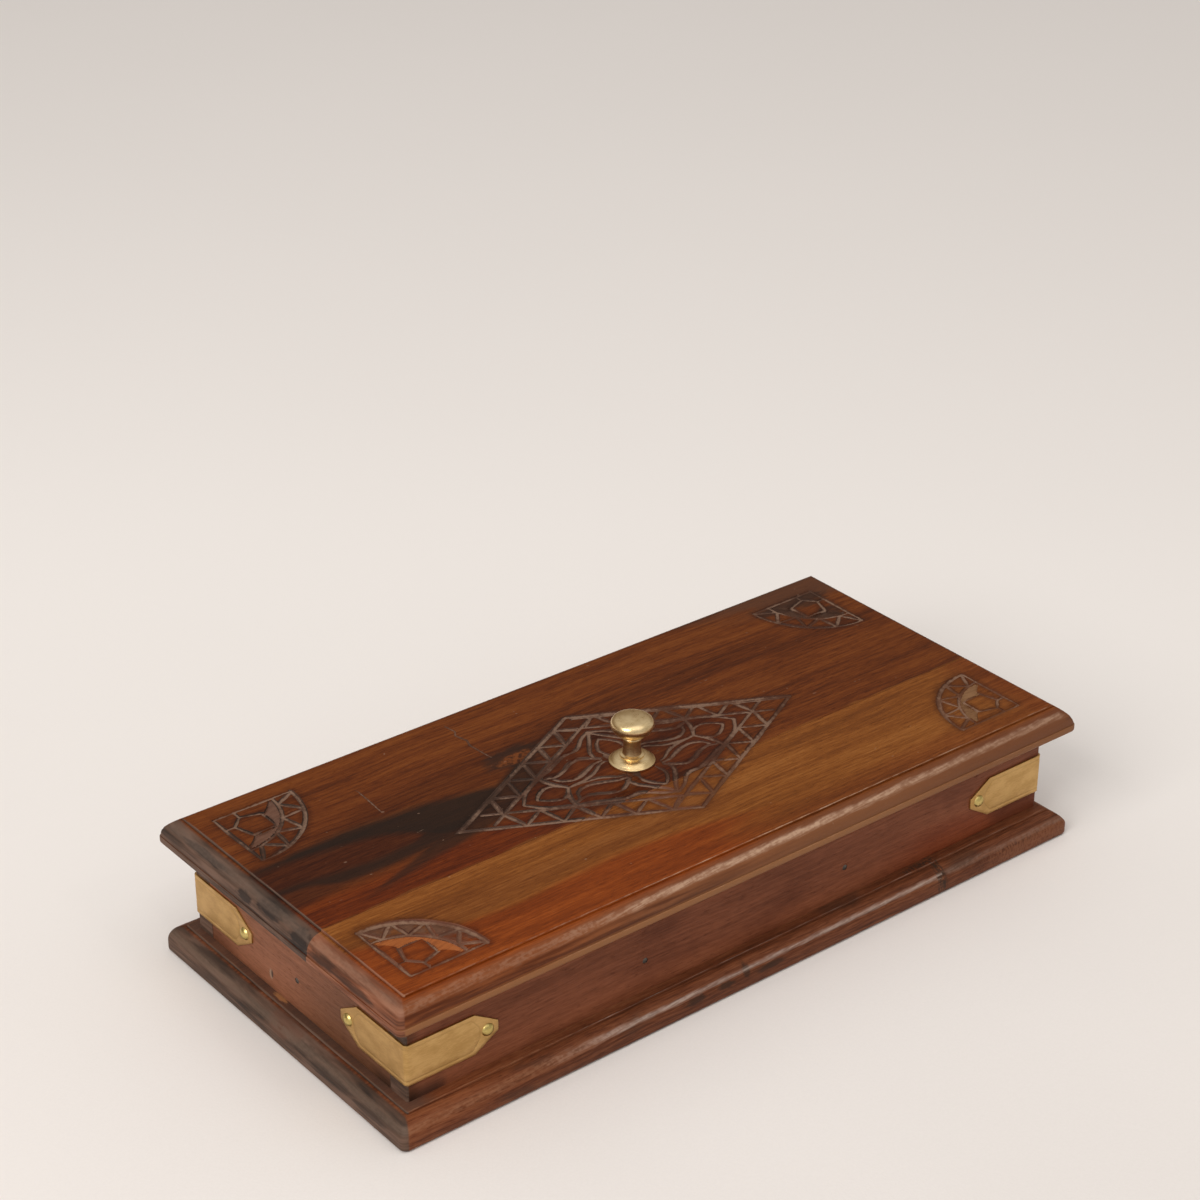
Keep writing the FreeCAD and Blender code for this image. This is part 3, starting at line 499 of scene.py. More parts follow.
def wallMarks(place, colour):
    # Darker clouds, a wet stain low on the left and a reddish foot on the right.
    x, y, z = parts(place)
    cloud = mottle(place, (0.016, 0.016, 0.045), 3.0, 77.0)
    colour = tinted(colour, (0.62, 0.55, 0.54), soft(cloud, 0.5, 0.7) * 0.6)
    low = soft(z, 21.0, 13.0) * spot(place, (-161.0, -73.0), (12.0, 40.0), 0.8)
    colour = blend(colour, (0.025, 0.016, 0.013), low * 0.75)
    foot = soft(z + (cloud - 0.5) * 30.0, 32.0, 16.0) * soft(x, 60.0, 110.0)
    colour = tinted(colour, (0.92, 0.64, 0.5), foot * 0.8)
    under = soft(z + (cloud - 0.5) * 12.0, 26.0, 18.0) * soft(x + (cloud - 0.5) * 20.0, 132.0, 144.0)
    colour = tinted(colour, (0.58, 0.64, 0.72), under * 0.9)
    # The left wall has painted shade towards its front and at the foot of its rear, where the light falls off
    # under the lid's overhang, and a nick low down.
    left = soft(x, -160.0, -166.0)
    leftWallShade = larger(soft(y + (z - 33.0) * 0.8 + (cloud - 0.5) * 20.0, 6.0, -50.0),
                 soft(y, 38.0, 66.0) * soft(z, 32.0, 16.0) * 0.6)
    colour = tinted(colour, (0.48, 0.5, 0.46), leftWallShade * left * 0.9)
    side = endPlace(place)
    nick = spot(side, (19.0, 19.4), (1.3, 2.8), 0.7)
    hollow = spot(side, (18.2, 19.8), (0.8, 2.0), 0.7)
    colour = blend(colour, (0.3, 0.2, 0.14), nick * left * 0.8)
    return blend(colour, (0.05, 0.03, 0.022), hollow * left * 0.9)


redShades = [(0.0, (0.056, 0.0125, 0.0028)), (0.35, (0.1, 0.0225, 0.0042)),
             (0.65, (0.14, 0.0345, 0.0058)), (1.0, (0.182, 0.052, 0.0098))]
goldShades = [(0.0, (0.125, 0.036, 0.0062)), (0.35, (0.182, 0.055, 0.009)),
              (0.65, (0.228, 0.075, 0.0135)), (1.0, (0.29, 0.108, 0.024))]
darkShades = [(0.0, (0.06, 0.02, 0.009)), (0.35, (0.11, 0.034, 0.0145)),
              (0.65, (0.155, 0.05, 0.021)), (1.0, (0.21, 0.078, 0.035))]
wallShades = [(0.0, (0.13, 0.038, 0.016)), (0.35, (0.185, 0.058, 0.026)),
              (0.65, (0.22, 0.071, 0.033)), (1.0, (0.26, 0.09, 0.043))]
pinkShades = [(0.0, (0.155, 0.058, 0.029)), (0.35, (0.205, 0.079, 0.041)),
              (0.65, (0.24, 0.093, 0.05)), (1.0, (0.28, 0.115, 0.063))]
plainShades = [(0.0, (0.13, 0.06, 0.03)), (0.35, (0.2, 0.09, 0.042)),
               (0.65, (0.25, 0.12, 0.056)), (1.0, (0.32, 0.17, 0.085))]
greyEnds = [(0.0, (0.03, 0.021, 0.017)), (0.3, (0.066, 0.04, 0.029)),
            (0.6, (0.1, 0.058, 0.041)), (1.0, (0.15, 0.09, 0.065))]
warmEnds = [(0.0, (0.085, 0.032, 0.018)), (0.35, (0.16, 0.058, 0.03)),
            (0.65, (0.22, 0.084, 0.045)), (1.0, (0.3, 0.14, 0.085))]
# The rubbed colours are partly painted highlight on the crowns of the mouldings.
woodLook = {
    "along": 0, "seed": 1.0, "wander": 6.0, "bandWidth": 9.0, "shades": redShades, "ends": greyEnds,
    "endsFade": 0.6, "rubAndHighlight": (0.2, 0.13, 0.1), "rubAndHighlightFar": (0.2, 0.13, 0.1),
    "rubAndHighlightEnd": (0.14, 0.098, 0.076),
    "rubAndHighlightTurn": (-110.0, -40.0), "rubAndHighlightLeast": 1.0, "rubAndHighlightEase": 0.0, "rubAndHighlightNarrow": 0.2, "rubAndHighlightEven": 0.5,
    "rubAndHighlightShare": 0.5, "rope": 0.5,
    "cut": (0.135, 0.074, 0.05), "cutPale": (0.24, 0.15, 0.104), "chip": (0.16, 0.085, 0.058),
    "chipFar": (0.075, 0.04, 0.027), "rough": 0.4, "shine": 0.1, "relief": 0.05,
}
lidRearWood = woodMaterial("lidRearWood", woodLook, lidRearMarks, lidRearEnds)
lidFrontWood = woodMaterial("lidFrontWood", {
    **woodLook, "seed": 14.0, "bandWidth": 12.0, "shades": goldShades, "ends": warmEnds,
    "chip": (0.34, 0.105, 0.028), "chipFar": (0.24, 0.13, 0.062), "rubAndHighlight": (0.3, 0.15, 0.09),
    "rubAndHighlightFar": (0.5, 0.325, 0.22), "rubAndHighlightEnd": (0.3, 0.16, 0.105), "rubAndHighlightTurn": (-120.0, -40.0),
    "rubAndHighlightLeast": 0.6, "rubAndHighlightEase": 0.4, "rope": 0.7, "rubAndHighlightShare": 0.85, "cut": (0.17, 0.092, 0.06),
    "cutPale": (0.25, 0.15, 0.1)}, lidFrontMarks, lidFrontEnds)
baseWood = woodMaterial("baseWood", {
    **woodLook, "seed": 29.0, "shades": darkShades, "rubAndHighlight": (0.27, 0.12, 0.062),
    "rubAndHighlightFar": (0.5, 0.4, 0.34), "rubAndHighlightEnd": (0.14, 0.095, 0.07), "rubAndHighlightTurn": (-110.0, -50.0),
    "rubAndHighlightLeast": 0.75, "rubAndHighlightNarrow": 0.4, "rubAndHighlightEven": 0.7, "rubAndHighlightShare": 0.85}, baseMarks, baseEnds)
basePieceWood = woodMaterial("basePieceWood", {
    **woodLook, "seed": 35.0, "shades": darkShades, "ends": warmEnds, "rubAndHighlight": (0.24, 0.15, 0.11),
    "rubAndHighlightFar": (0.24, 0.15, 0.11)}, baseMarks)
longWallWood = woodMaterial("longWallWood", {
    **woodLook, "seed": 43.0, "bandWidth": 16.0, "shades": wallShades}, wallMarks)
endWallWood = woodMaterial("endWallWood", {
    **woodLook, "seed": 51.0, "along": 1, "bandWidth": 16.0, "shades": pinkShades}, wallMarks)
longDividerWood = woodMaterial("longDividerWood", {
    **woodLook, "seed": 58.0, "shades": plainShades, "ends": warmEnds, "rough": 0.55})
crossDividerWood = woodMaterial("crossDividerWood", {
    **woodLook, "seed": 63.0, "along": 1, "shades": plainShades, "ends": warmEnds, "rough": 0.55})
knobBrass = brassMaterial("knobBrass", {
    "seed": 2.0, "shades": [(0.0, (0.68, 0.49, 0.245)), (1.0, (0.87, 0.68, 0.39))], "rough": 0.3,
    "pits": 0.2, "tarnish": (0.34, 0.22, 0.1), "relief": 0.006})
nailBrass = brassMaterial("nailBrass", {
    "seed": 5.0, "shades": [(0.0, (0.5, 0.38, 0.12)), (1.0, (0.66, 0.52, 0.2))], "rough": 0.34,
    "pits": 0.3, "tarnish": (0.24, 0.15, 0.05), "relief": 0.01})
sheetBrass = brassMaterial("sheetBrass", {
    "seed": 8.0, "shades": [(0.0, (0.48, 0.29, 0.1)), (0.5, (0.55, 0.34, 0.127)),
                            (1.0, (0.62, 0.395, 0.158))],
    "rough": 0.42, "pits": 0.1, "tarnish": (0.36, 0.22, 0.08), "relief": 0.012})
dullSteel = brassMaterial("dullSteel", {
    "seed": 12.0, "shades": [(0.0, (0.06, 0.05, 0.045)), (1.0, (0.16, 0.14, 0.12))], "rough": 0.5,
    "pits": 0.6, "tarnish": (0.06, 0.03, 0.02), "relief": 0.03})
print("materials made")


class Shell:
    def __init__(self):
        self.mesh = bmesh.new()
        self.layers = {}
        for name in ("wear", "cut", "chip", "soot"):
            self.layers[name] = self.mesh.verts.layers.float.new(name)

    def point(self, place, marks):
        vertex = self.mesh.verts.new([value * mm for value in place])
        for name, value in marks.items():
            vertex[self.layers[name]] = value
        return vertex

    def strip(self, lower, upper, closed=False):
        count = len(lower)
        for index in range(count if closed else count - 1):
            after = (index + 1) % count
            self.mesh.faces.new((lower[index], lower[after], upper[after], upper[index]))

    def patch(self, rim, flat, inner, lines, lift):
        # Triangles inside a flat rim; the rim keeps its places, other points are raised by lift.
        spots = [Vector(place) for place in (*flat, *inner)]
        found = delaunay_2d_cdt(spots, lines, [list(range(len(flat)))], 1, 1e-6)
        places, marks = lift(np.array([tuple(place) for place in found[0]]))
        corners = []
        for index, sources in enumerate(found[3]):
            onRim = [source for source in sources if source < len(flat)]
            place = rim[onRim[0]] if onRim else places[index]
            corners.append(self.point(place, {name: values[index] for name, values in marks.items()}))
        for face in found[2]:
            self.mesh.faces.new([corners[index] for index in face])

    def finish(self, name, sharp):
        bmesh.ops.remove_doubles(self.mesh, verts=self.mesh.verts, dist=0.002 * mm)
        bmesh.ops.recalc_face_normals(self.mesh, faces=self.mesh.faces)
        mesh = bpy.data.meshes.new(name)
        self.mesh.to_mesh(mesh)
        self.mesh.free()
        smoothMesh(mesh, sharp)
        return mesh


def smoothMesh(mesh, sharp):
    mesh.polygons.foreach_set("use_smooth", [True] * len(mesh.polygons))
    mesh.set_sharp_from_angle(angle=math.radians(sharp))


def addPiece(name, mesh, material, body, slot, *replaced):
    piece = bpy.data.objects.new(name, mesh)
    scene.collection.objects.link(piece)
    mesh.materials.clear()
    mesh.materials.append(material)
    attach(piece, body)
    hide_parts(*replaced)
    print("piece", name, len(mesh.polygons))


def dress(material, *names):
    for name in names:
        mesh = nodes[name].data
        mesh.materials.clear()
        mesh.materials.append(material)


def arc(centre, radius, first, last, steps):
    turns = np.radians(np.linspace(first, last, steps + 1))
    return np.column_stack((centre[0] + radius * np.cos(turns), centre[1] + radius * np.sin(turns)))


# Carving: strokes with a middle line, a width and a depth along it.
carving = {"step": 0.7, "drift": 0.25, "driftLength": 16.0, "wander": 0.25, "wanderLength": 7.0, "flat": 0.35,
           "soot": 3.6, "fullness": 2.2, "grid": 6.0, "gridInset": (4.0, 3.0), "cell": 0.22, "rimGap": 0.15,
           "hidden": 9.3}
# Width, depth and swell of each kind of stroke.
strokeKinds = {"outerLine": (2.5, 0.8, 0.1), "innerLine": (2.2, 0.8, 0.25), "rising": (2.6, 0.85, 0.4),
               "falling": (2.1, 0.8, 0.4), "doubled": (2.0, 0.7, 0.1), "fanSide": (2.0, 0.8, 0.35),
               "fanRing": (2.1, 0.8, 0.3), "fanTooth": (2.2, 0.8, 0.35), "fanPetal": (1.8, 0.9, 0.35),
               "longScratch": (0.8, 0.12, 0.4), "shortScratch": (0.7, 0.1, 0.4)}


def resample(points, step, curved):
    points = np.array(points, float)
    if curved and len(points) > 2:
        padded = np.vstack((2 * points[0] - points[1], points, 2 * points[-1] - points[-2]))
        rows = []
        for index in range(len(points) - 1):
            before, start, end, after = padded[index:index + 4]
            for share in np.linspace(0.0, 1.0, 13)[:-1]:
                bend = (2 * before - 5 * start + 4 * end - after) * share ** 2
                twist = (3 * start - before - 3 * end + after) * share ** 3
                rows.append(0.5 * (2 * start + (end - before) * share + bend + twist))
        points = np.array(rows + [points[-1]])
    lengths = np.concatenate(((0.0,), np.cumsum(np.linalg.norm(np.diff(points, axis=0), axis=1))))
    stops = np.linspace(0.0, lengths[-1], max(3, int(round(lengths[-1] / step)) + 1))
    line = np.column_stack([np.interp(stops, lengths, points[:, axis]) for axis in (0, 1)])
    return line, stops


strokes = []


def carve(points, width, depth, swell, tone=1.0, curved=False):
    line, stops = resample(points, carving["step"], curved)
    seed = len(strokes) + 0.37
    for index, stop in enumerate(stops):
        line[index, 0] += carving["drift"] * sway(seed, stop / carving["driftLength"])
        line[index, 1] += carving["drift"] * sway(seed + 0.5, stop / carving["driftLength"])
    belly = 1.0 - swell + swell * np.sin(np.pi * stops / stops[-1])
    wander = np.array([1.0 + carving["wander"] * sway(seed + 0.8, stop / carving["wanderLength"])
                       for stop in stops])
    half = 0.5 * width * belly * wander
    strokes.append({"line": line, "half": half, "depth": depth * belly, "tone": tone})


# The lozenge: tips from the knob's middle, tooth places as shares of a side.
lozenge = {
    "outer": (88.0, 45.0), "inner": (65.5, 34.0), "overrun": 0.13,
    "outerTeeth": (0.275, 0.43, 0.582, 0.727, 0.882), "innerTeeth": (-0.02, 0.195, 0.39, 0.594, 0.79, 0.975),
    "doubledInset": (-0.675, -1.35), "doubledEnds": (0.03, 0.97), "leafDepth": 0.85, "leafSwell": 0.3,
}
leafLines = {
    "ogee": ((56, 0), (49.5, 7.5), (39, 13), (32, 15.5), (25.5, 18.6), (20, 20.8), (13.8, 21), (10, 23),
             (5.5, 27), (0, 30)),
    "cusp": ((39, 13), (38.3, 9), (36.5, 4.5), (33.5, 0)),
    "sideLeaf": ((34.5, 1.5), (37.5, 4.6), (41.5, 5.4), (46, 3.3), (49.5, 0)),
    "smile": ((34.5, 8.6), (33, 5.8), (29, 3.7), (24.5, 3.8), (19.5, 5.6), (14, 8), (9.5, 8.5)),
    "wave": ((37, 11), (32, 9.6), (27, 11.2), (22, 14), (17, 14.8), (12.5, 12.5), (9.2, 9.8)),
    "rib": ((33.5, 0), (25.7, 0.5), (19.5, 1.8), (15.5, 4), (12.5, 6), (9.6, 6.8)),
    "shoulder": ((11, 10.5), (9.8, 15.5), (6.8, 19.8), (2.8, 25), (0, 29)),
    "endLeaf": ((5.3, 11.5), (5.6, 15), (3.2, 19.3), (0, 22.3)),
}
leafWidths = {"ogee": 2.6, "cusp": 2.6, "sideLeaf": 2.1, "smile": 2.4, "wave": 2.6, "rib": 2.1,
              "shoulder": 2.4, "endLeaf": 2.1}
for sideX in (-1, 1):
    for sideY in (-1, 1):
        mirror = np.array((sideX, sideY))

        def along(name, share):
            size = lozenge[name]
            return knobPlace + mirror * np.array((size[0] * (1.0 - share), size[1] * share))

        over = lozenge["overrun"]
        carve((along("outer", 0.0), along("outer", 1.0)), *strokeKinds["outerLine"])
        carve((along("inner", -over), along("inner", 1.0 + over)), *strokeKinds["innerLine"])
        feet = lozenge["innerTeeth"]
        for share, foot, nextFoot in zip(lozenge["outerTeeth"], feet[:-1], feet[1:]):
            tip = along("outer", share)
            carve((along("inner", foot), tip), *strokeKinds["rising"])
            carve((tip, along("inner", nextFoot)), *strokeKinds["falling"])
        for name, points in leafLines.items():
            line = knobPlace + mirror * np.array(points, float)
            carve(line, leafWidths[name], lozenge["leafDepth"], lozenge["leafSwell"], curved=True)
        if sideX > 0 and sideY > 0:
            inset = np.array(lozenge["doubledInset"])
            ends = [along("outer", share) + inset for share in lozenge["doubledEnds"]]
            carve(ends, *strokeKinds["doubled"])

# Fans in the corners: a quarter round with a petal, its chips and a toothed rim.
fan = {
    "rim": 36.5, "ring": 27.3, "outerTeeth": (1, 23, 45.5, 67.5, 89),
    "innerTeeth": (12, 33.5, 56.5, 78), "petal": ((9.4, 0.4), (9.4, 4.2), (18.4, 7.0), (18.1, 18.1)),
    "foot": ((9.4, 4.2), (4.2, 9.4)), "rimDepth": 1.0, "arcSwell": 0.3, "rimTurn": (0, 90),
    "ringTurn": (2, 88), "chipLeast": 0.4, "chipStep": 2.0, "chipGap": 0.12,
    "chipOuter": 26.4, "chipDepth": 1.1, "chipEdge": ((24.7, 1.3), (18.7, 7.5), (18.1, 18.1)),
}
for (sideX, sideY), (cornerX, cornerY, size, rimWidth) in fanPlaces.items():
    corner = np.array((cornerX, cornerY))
    turn = np.array((-sideX, -sideY)) * size

    def fanLine(points, kind, **options):
        carve(corner + turn * np.array(points, float), *kind, **options)

    def fanArc(radius, turns, kind):
        fanLine(arc((0.0, 0.0), radius, *turns, 16), kind, curved=True)

    def fanTeeth(radius, angles):
        return [arc((0.0, 0.0), radius, angle, angle, 0)[0] for angle in angles]

    fanLine(((0, 0), (fan["rim"], 0)), strokeKinds["fanSide"])
    fanLine(((0, 0), (0, fan["rim"])), strokeKinds["fanSide"])
    fanArc(fan["rim"], fan["rimTurn"], (rimWidth, fan["rimDepth"], fan["arcSwell"]))
    fanArc(fan["ring"], fan["ringTurn"], strokeKinds["fanRing"])
    fanLine(fan["foot"], strokeKinds["fanSide"])
    fanLine(fan["petal"], strokeKinds["fanPetal"])
    fanLine([point[::-1] for point in fan["petal"]], strokeKinds["fanPetal"])
    rimTeeth = fanTeeth(fan["rim"], fan["outerTeeth"])
    for before, low, after in zip(rimTeeth[:-1], fanTeeth(fan["ring"], fan["innerTeeth"]), rimTeeth[1:]):
        fanLine((before, low), strokeKinds["fanTooth"])
        fanLine((low, after), strokeKinds["fanTooth"])

# Fine scratches across the rear board.
longScratch = ((-46, 69), (-45, 63), (-47, 60), (-45.5, 54), (-47, 50), (-46, 39))
carve(longScratch, *strokeKinds["longScratch"], tone=1.3)
carve(((-104, 49), (-104.6, 40), (-105.5, 31)), *strokeKinds["shortScratch"], tone=1.2)


def fanReach(spots, sides):
    cornerX, cornerY, size = fanPlaces[sides][:3]
    local = (spots - np.array((cornerX, cornerY))) * np.array((-sides[0], -sides[1])) / size
    reach = np.hypot(local[:, 0], local[:, 1])
    angle = np.degrees(np.arctan2(local[:, 1], local[:, 0]))
    return reach, np.where(angle > 45.0, 90.0 - angle, angle)


edge = np.array(fan["chipEdge"])
edgeReach = np.hypot(edge[:, 0], edge[:, 1])
edgeAngle = np.degrees(np.arctan2(edge[:, 1], edge[:, 0]))


def carvedDepth(spots):
    depth = np.zeros(len(spots))
    cut = np.zeros(len(spots))
    chip = np.zeros(len(spots))
    soot = np.zeros(len(spots))
    for stroke in strokes:
        line = stroke["line"]
        margin = stroke["half"].max() + carving["soot"]
        near = np.all((spots > line.min(axis=0) - margin) & (spots < line.max(axis=0) + margin), axis=1)
        found = np.nonzero(near)[0]
        if not len(found):
            continue
        start = line[:-1]
        run = np.diff(line, axis=0)
        offset = spots[found][:, None, :] - start[None, :, :]
        share = np.clip((offset * run).sum(axis=2) / (run * run).sum(axis=1), 0.0, 1.0)
        away = np.linalg.norm(offset - share[:, :, None] * run, axis=2)
        half = stroke["half"][:-1] + share * np.diff(stroke["half"])
        deep = stroke["depth"][:-1] + share * np.diff(stroke["depth"])
        inner = np.clip(1.0 - away / half, 0.0, 1.0)
        best = ((1.0 - (1.0 - inner) ** carving["fullness"]) * deep).max(axis=1)
        depth[found] = np.maximum(depth[found], best)
        cut[found] = np.maximum(cut[found], inner.max(axis=1) * stroke["tone"])
        beside = 1.0 - np.min(away - half, axis=1) / carving["soot"]
        soot[found] = np.maximum(soot[found], np.clip(beside, 0.0, 1.0) * min(1.0, stroke["depth"].max()))
    for sides in fanPlaces:
        reach, angle = fanReach(spots, sides)
        inner = np.interp(angle, edgeAngle, edgeReach)
        inside = (angle > edgeAngle[0]) & (reach > inner) & (reach < fan["chipOuter"])
        fall = np.clip((fan["chipOuter"] - reach) / np.maximum(fan["chipOuter"] - inner, 0.5), 0.0, 1.0)
        sunk = fan["chipDepth"] * (fan["chipLeast"] + (1.0 - fan["chipLeast"]) * fall)
        depth = np.where(inside, np.maximum(depth, sunk), depth)
        chip = np.where(inside, 1.0, chip)
    hidden = np.linalg.norm(spots - knobPlace, axis=1) < carving["hidden"]
    return np.where(hidden, 0.0, depth), np.where(hidden, 0.0, cut), chip, soot


def sideways(line):
    # Unit steps to the left of a line's run.
    run = np.gradient(line, axis=0)
    run /= np.linalg.norm(run, axis=1)[:, None]
    return np.column_stack((-run[:, 1], run[:, 0]))


def thinned(spots, cell):
    # Keeps the first point in each cell of a grid.
    kept = np.unique(np.round(spots / cell), axis=0, return_index=True)[1]
    return spots[np.sort(kept)]


def carvedSpots(low, high):
    # Points that follow the strokes, the chips and a coarse grid between them.
    rows = []
    for stroke in strokes:
        line = stroke["line"]
        side = sideways(line)
        for share, gap in ((0.0, 0.0), (0.6, 0.0), (1.0, 0.0), (1.0, carving["flat"])):
            reach = (stroke["half"] * share + gap)[:, None]
            rows.append(line + side * reach)
            if share:
                rows.append(line - side * reach)
        reach = (stroke["half"] + 0.6 * carving["soot"])[::3, None]
        rows.append(line[::3] + side[::3] * reach)
        rows.append(line[::3] - side[::3] * reach)
    gap = fan["chipGap"]
    for (sideX, sideY), (cornerX, cornerY, size, _) in fanPlaces.items():
        turn = np.array((-sideX, -sideY)) * size
        for angle in np.arange(edgeAngle[0], 90.0 - edgeAngle[0], fan["chipStep"]):
            inner = np.interp(min(angle, 90.0 - angle), edgeAngle, edgeReach)
            steps = np.concatenate(((inner - gap,), np.linspace(inner + gap, fan["chipOuter"], 5)))
            heading = np.array((math.cos(math.radians(angle)), math.sin(math.radians(angle))))
            rows.append(np.array((cornerX, cornerY)) + turn * heading * steps[:, None])
    first, last = carving["gridInset"]
    across, deep = (np.arange(low[axis] + first, high[axis] - last, carving["grid"]) for axis in (0, 1))
    rows.append(np.array([(x, y) for x in across for y in deep]))
    spots = np.vstack(rows)
    inside = (spots > np.array(low) + carving["rimGap"]) & (spots < np.array(high) - carving["rimGap"])
    return thinned(spots[np.all(inside, axis=1)], carving["cell"])


baseLow, baseHigh = boxOf("base_rear_board")
frontHigh = boxOf("base_front_left_board")[1]
halfX, halfY = baseHigh[:2]
plate = {"cornerRadius": 3.0, "cornerLeast": 0.8, "cornerLoss": 0.4, "station": 4.0, "margin": 9.0,
         "cornerSteps": 6, "dent": 0.16, "dentScales": (0.16, 0.16, 0.5), "planedWear": 0.2,
         "crownReach": 26.0, "seamEase": 0.3, "seamReach": 0.45, "seamDirt": -0.8, "underStep": 12.0,
         "sharp": 32.0, "seamGap": 0.1}
# Profiles run from the underside's edge to the top's edge: inset, height, and a weight for wear and painted
# highlight.
basePlate = {"arris": 1.5, "arrisWear": 0.35, "start": 0.0, "edge": 4.9, "round": 6.6, "top": 12.5,
             "crown": 36.0, "brim": ((0.0, 0.3, 0.3), (0.1, 0.08, 0.75), (0.4, 0.0, 0.5), (0.7, 0.0, 0.0)),
             "browStep": 4.0, "rimStep": 1.0}
lidPlate = {"arris": 1.2, "arrisWear": 0.15, "start": 0.5, "edge": 4.7, "round": 6.8, "top": 12.5,
            "crown": 49.0, "brim": ((0.0, 0.3, 0.3), (0.1, 0.08, 0.8), (0.4, 0.0, 0.5), (0.7, 0.0, 0.0)),
            "lip": ((0.0, 2.95, 0.2), (0.1, 3.22, 0.5), (0.3, 3.3, 0.3), (0.5, 3.3, -0.9)),
            "browStep": 2.0, "rimStep": 0.7, "topInset": 8.2, "seamStep": 0.7}


def profile(size):
    # The lower arris, a lip if there is one, the crown, the darker crease at its foot and the top's arris.
    arris = size["arris"]
    rows = [(inset, level, size["arrisWear"]) for inset, level in arc((arris, arris), arris, 270.0, 180.0, 4)]
    rows += size.get("lip", ())
    crown = arc((size["start"] + size["round"], size["edge"]), size["round"], 180.0, 90.0, 12)
    for angle, (inset, level) in zip(np.linspace(0.0, 90.0, 13), crown):
        rows.append((inset, level, max(0.0, 1.0 - abs(angle - size["crown"]) / plate["crownReach"])))
    inset, level = rows.pop()[:2]
    rows.append((inset, level, -1.0))
    return rows + [(inset + gap, size["top"] - drop, wear) for gap, drop, wear in size["brim"]]


def contour(keys, inset):
    # A clockwise run of straight legs with rounded corners, moved inwards.
    radius = max(plate["cornerLeast"], plate["cornerRadius"] - plate["cornerLoss"] * inset)
    spots = []
    for index in range(len(keys) - 1):
        start, end = np.array(keys[index]), np.array(keys[index + 1])
        length = np.linalg.norm(end - start)
        run = (end - start) / length
        inward = np.array((run[1], -run[0]))
        first = plate["margin"] if index else 0.0
        last = length - plate["margin"] if index + 2 < len(keys) else length
        for station in np.linspace(first, last, int(round((last - first) / plate["station"])) + 1):
            spots.append(start + run * station + inward * inset)
        if index + 2 < len(keys):
            middle = end + (inset + radius) * (inward - run)
            for turn in np.linspace(0.0, 0.5 * math.pi, plate["cornerSteps"] + 1):
                spots.append(middle - inward * radius * math.cos(turn) + run * radius * math.sin(turn))
    return spots


# Slopes planed along the right edge, and along the lid's rear edge: inset and height of the foot
# and the brow, the bow between them, and the rise that leads to the foot.
baseSlope = {"foot": (0.0, 3.4), "brow": (8.0, 12.5), "bow": 1.2, "start": -1.0, "lead": 1.0, "rear": False,
             "rows": (7.55, 7.8, 8.0, 8.5)}
lidSlope = {"foot": (2.2, 5.1), "brow": (9.2, 12.5), "bow": 0.95, "start": 0.45, "lead": 0.65, "rear": True,
            "rows": (8.25, 8.5, 8.8, 9.2, 9.7)}


def slopeLevel(slope, inset):
    foot, brow = np.array(slope["foot"]), np.array(slope["brow"])
    chord = brow - foot
    length = np.linalg.norm(chord)
    radius = (0.25 * length ** 2 + slope["bow"] ** 2) / (2.0 * slope["bow"])
    middle = 0.5 * (foot + brow) + np.array((chord[1], -chord[0])) / length * (radius - slope["bow"])
    bowed = middle[1] + np.sqrt(np.clip(radius ** 2 - (inset - middle[0]) ** 2, 0.0, None))
    level = np.where(inset < foot[0], foot[1] + (inset - foot[0]) * slope["lead"], bowed)
    return np.where((inset > slope["start"]) & (inset < brow[0]), level, 2.0 * brow[1])


def planed(slope, floor, places):
    # Lowers places to the slopes and says which of them were above.
    places = np.array(places, float)
    limit = slopeLevel(slope, halfX - places[:, 0])
    if slope["rear"]:
        limit = np.minimum(limit, slopeLevel(slope, halfY - places[:, 1]))
    above = places[:, 2] > floor + limit
    places[:, 2] = np.minimum(places[:, 2], floor + limit)
    return places, above


def browSpots(slope, low, high, step):
    # Rows of points beside the brows, inside the board's top.
    margin = slope["rows"][0]
    across = np.arange(low[0] + margin + 1.0, halfX - slope["rows"][-1], step)
    deep = np.arange(max(low[1], margin - halfY) + 1.0,
                     min(high[1], halfY - slope["rows"][-1]) - 1.0, step)
    spots = [(halfX - row, y) for row in slope["rows"] for y in deep]
    if slope["rear"] and high[1] == halfY:
        spots += [(x, halfY - row) for row in slope["rows"] for x in across]
        spots += [(halfX - first, halfY - second)
                  for first in slope["rows"] for second in slope["rows"]]
    return spots


def planedLift(slope, floor, lift):
    def lowered(spots):
        places, marks = lift(spots)
        return planed(slope, floor, places)[0], marks
    return lowered


def flatLift(level):
    def lift(spots):
        return np.column_stack((spots, np.full(len(spots), level))), {}
    return lift


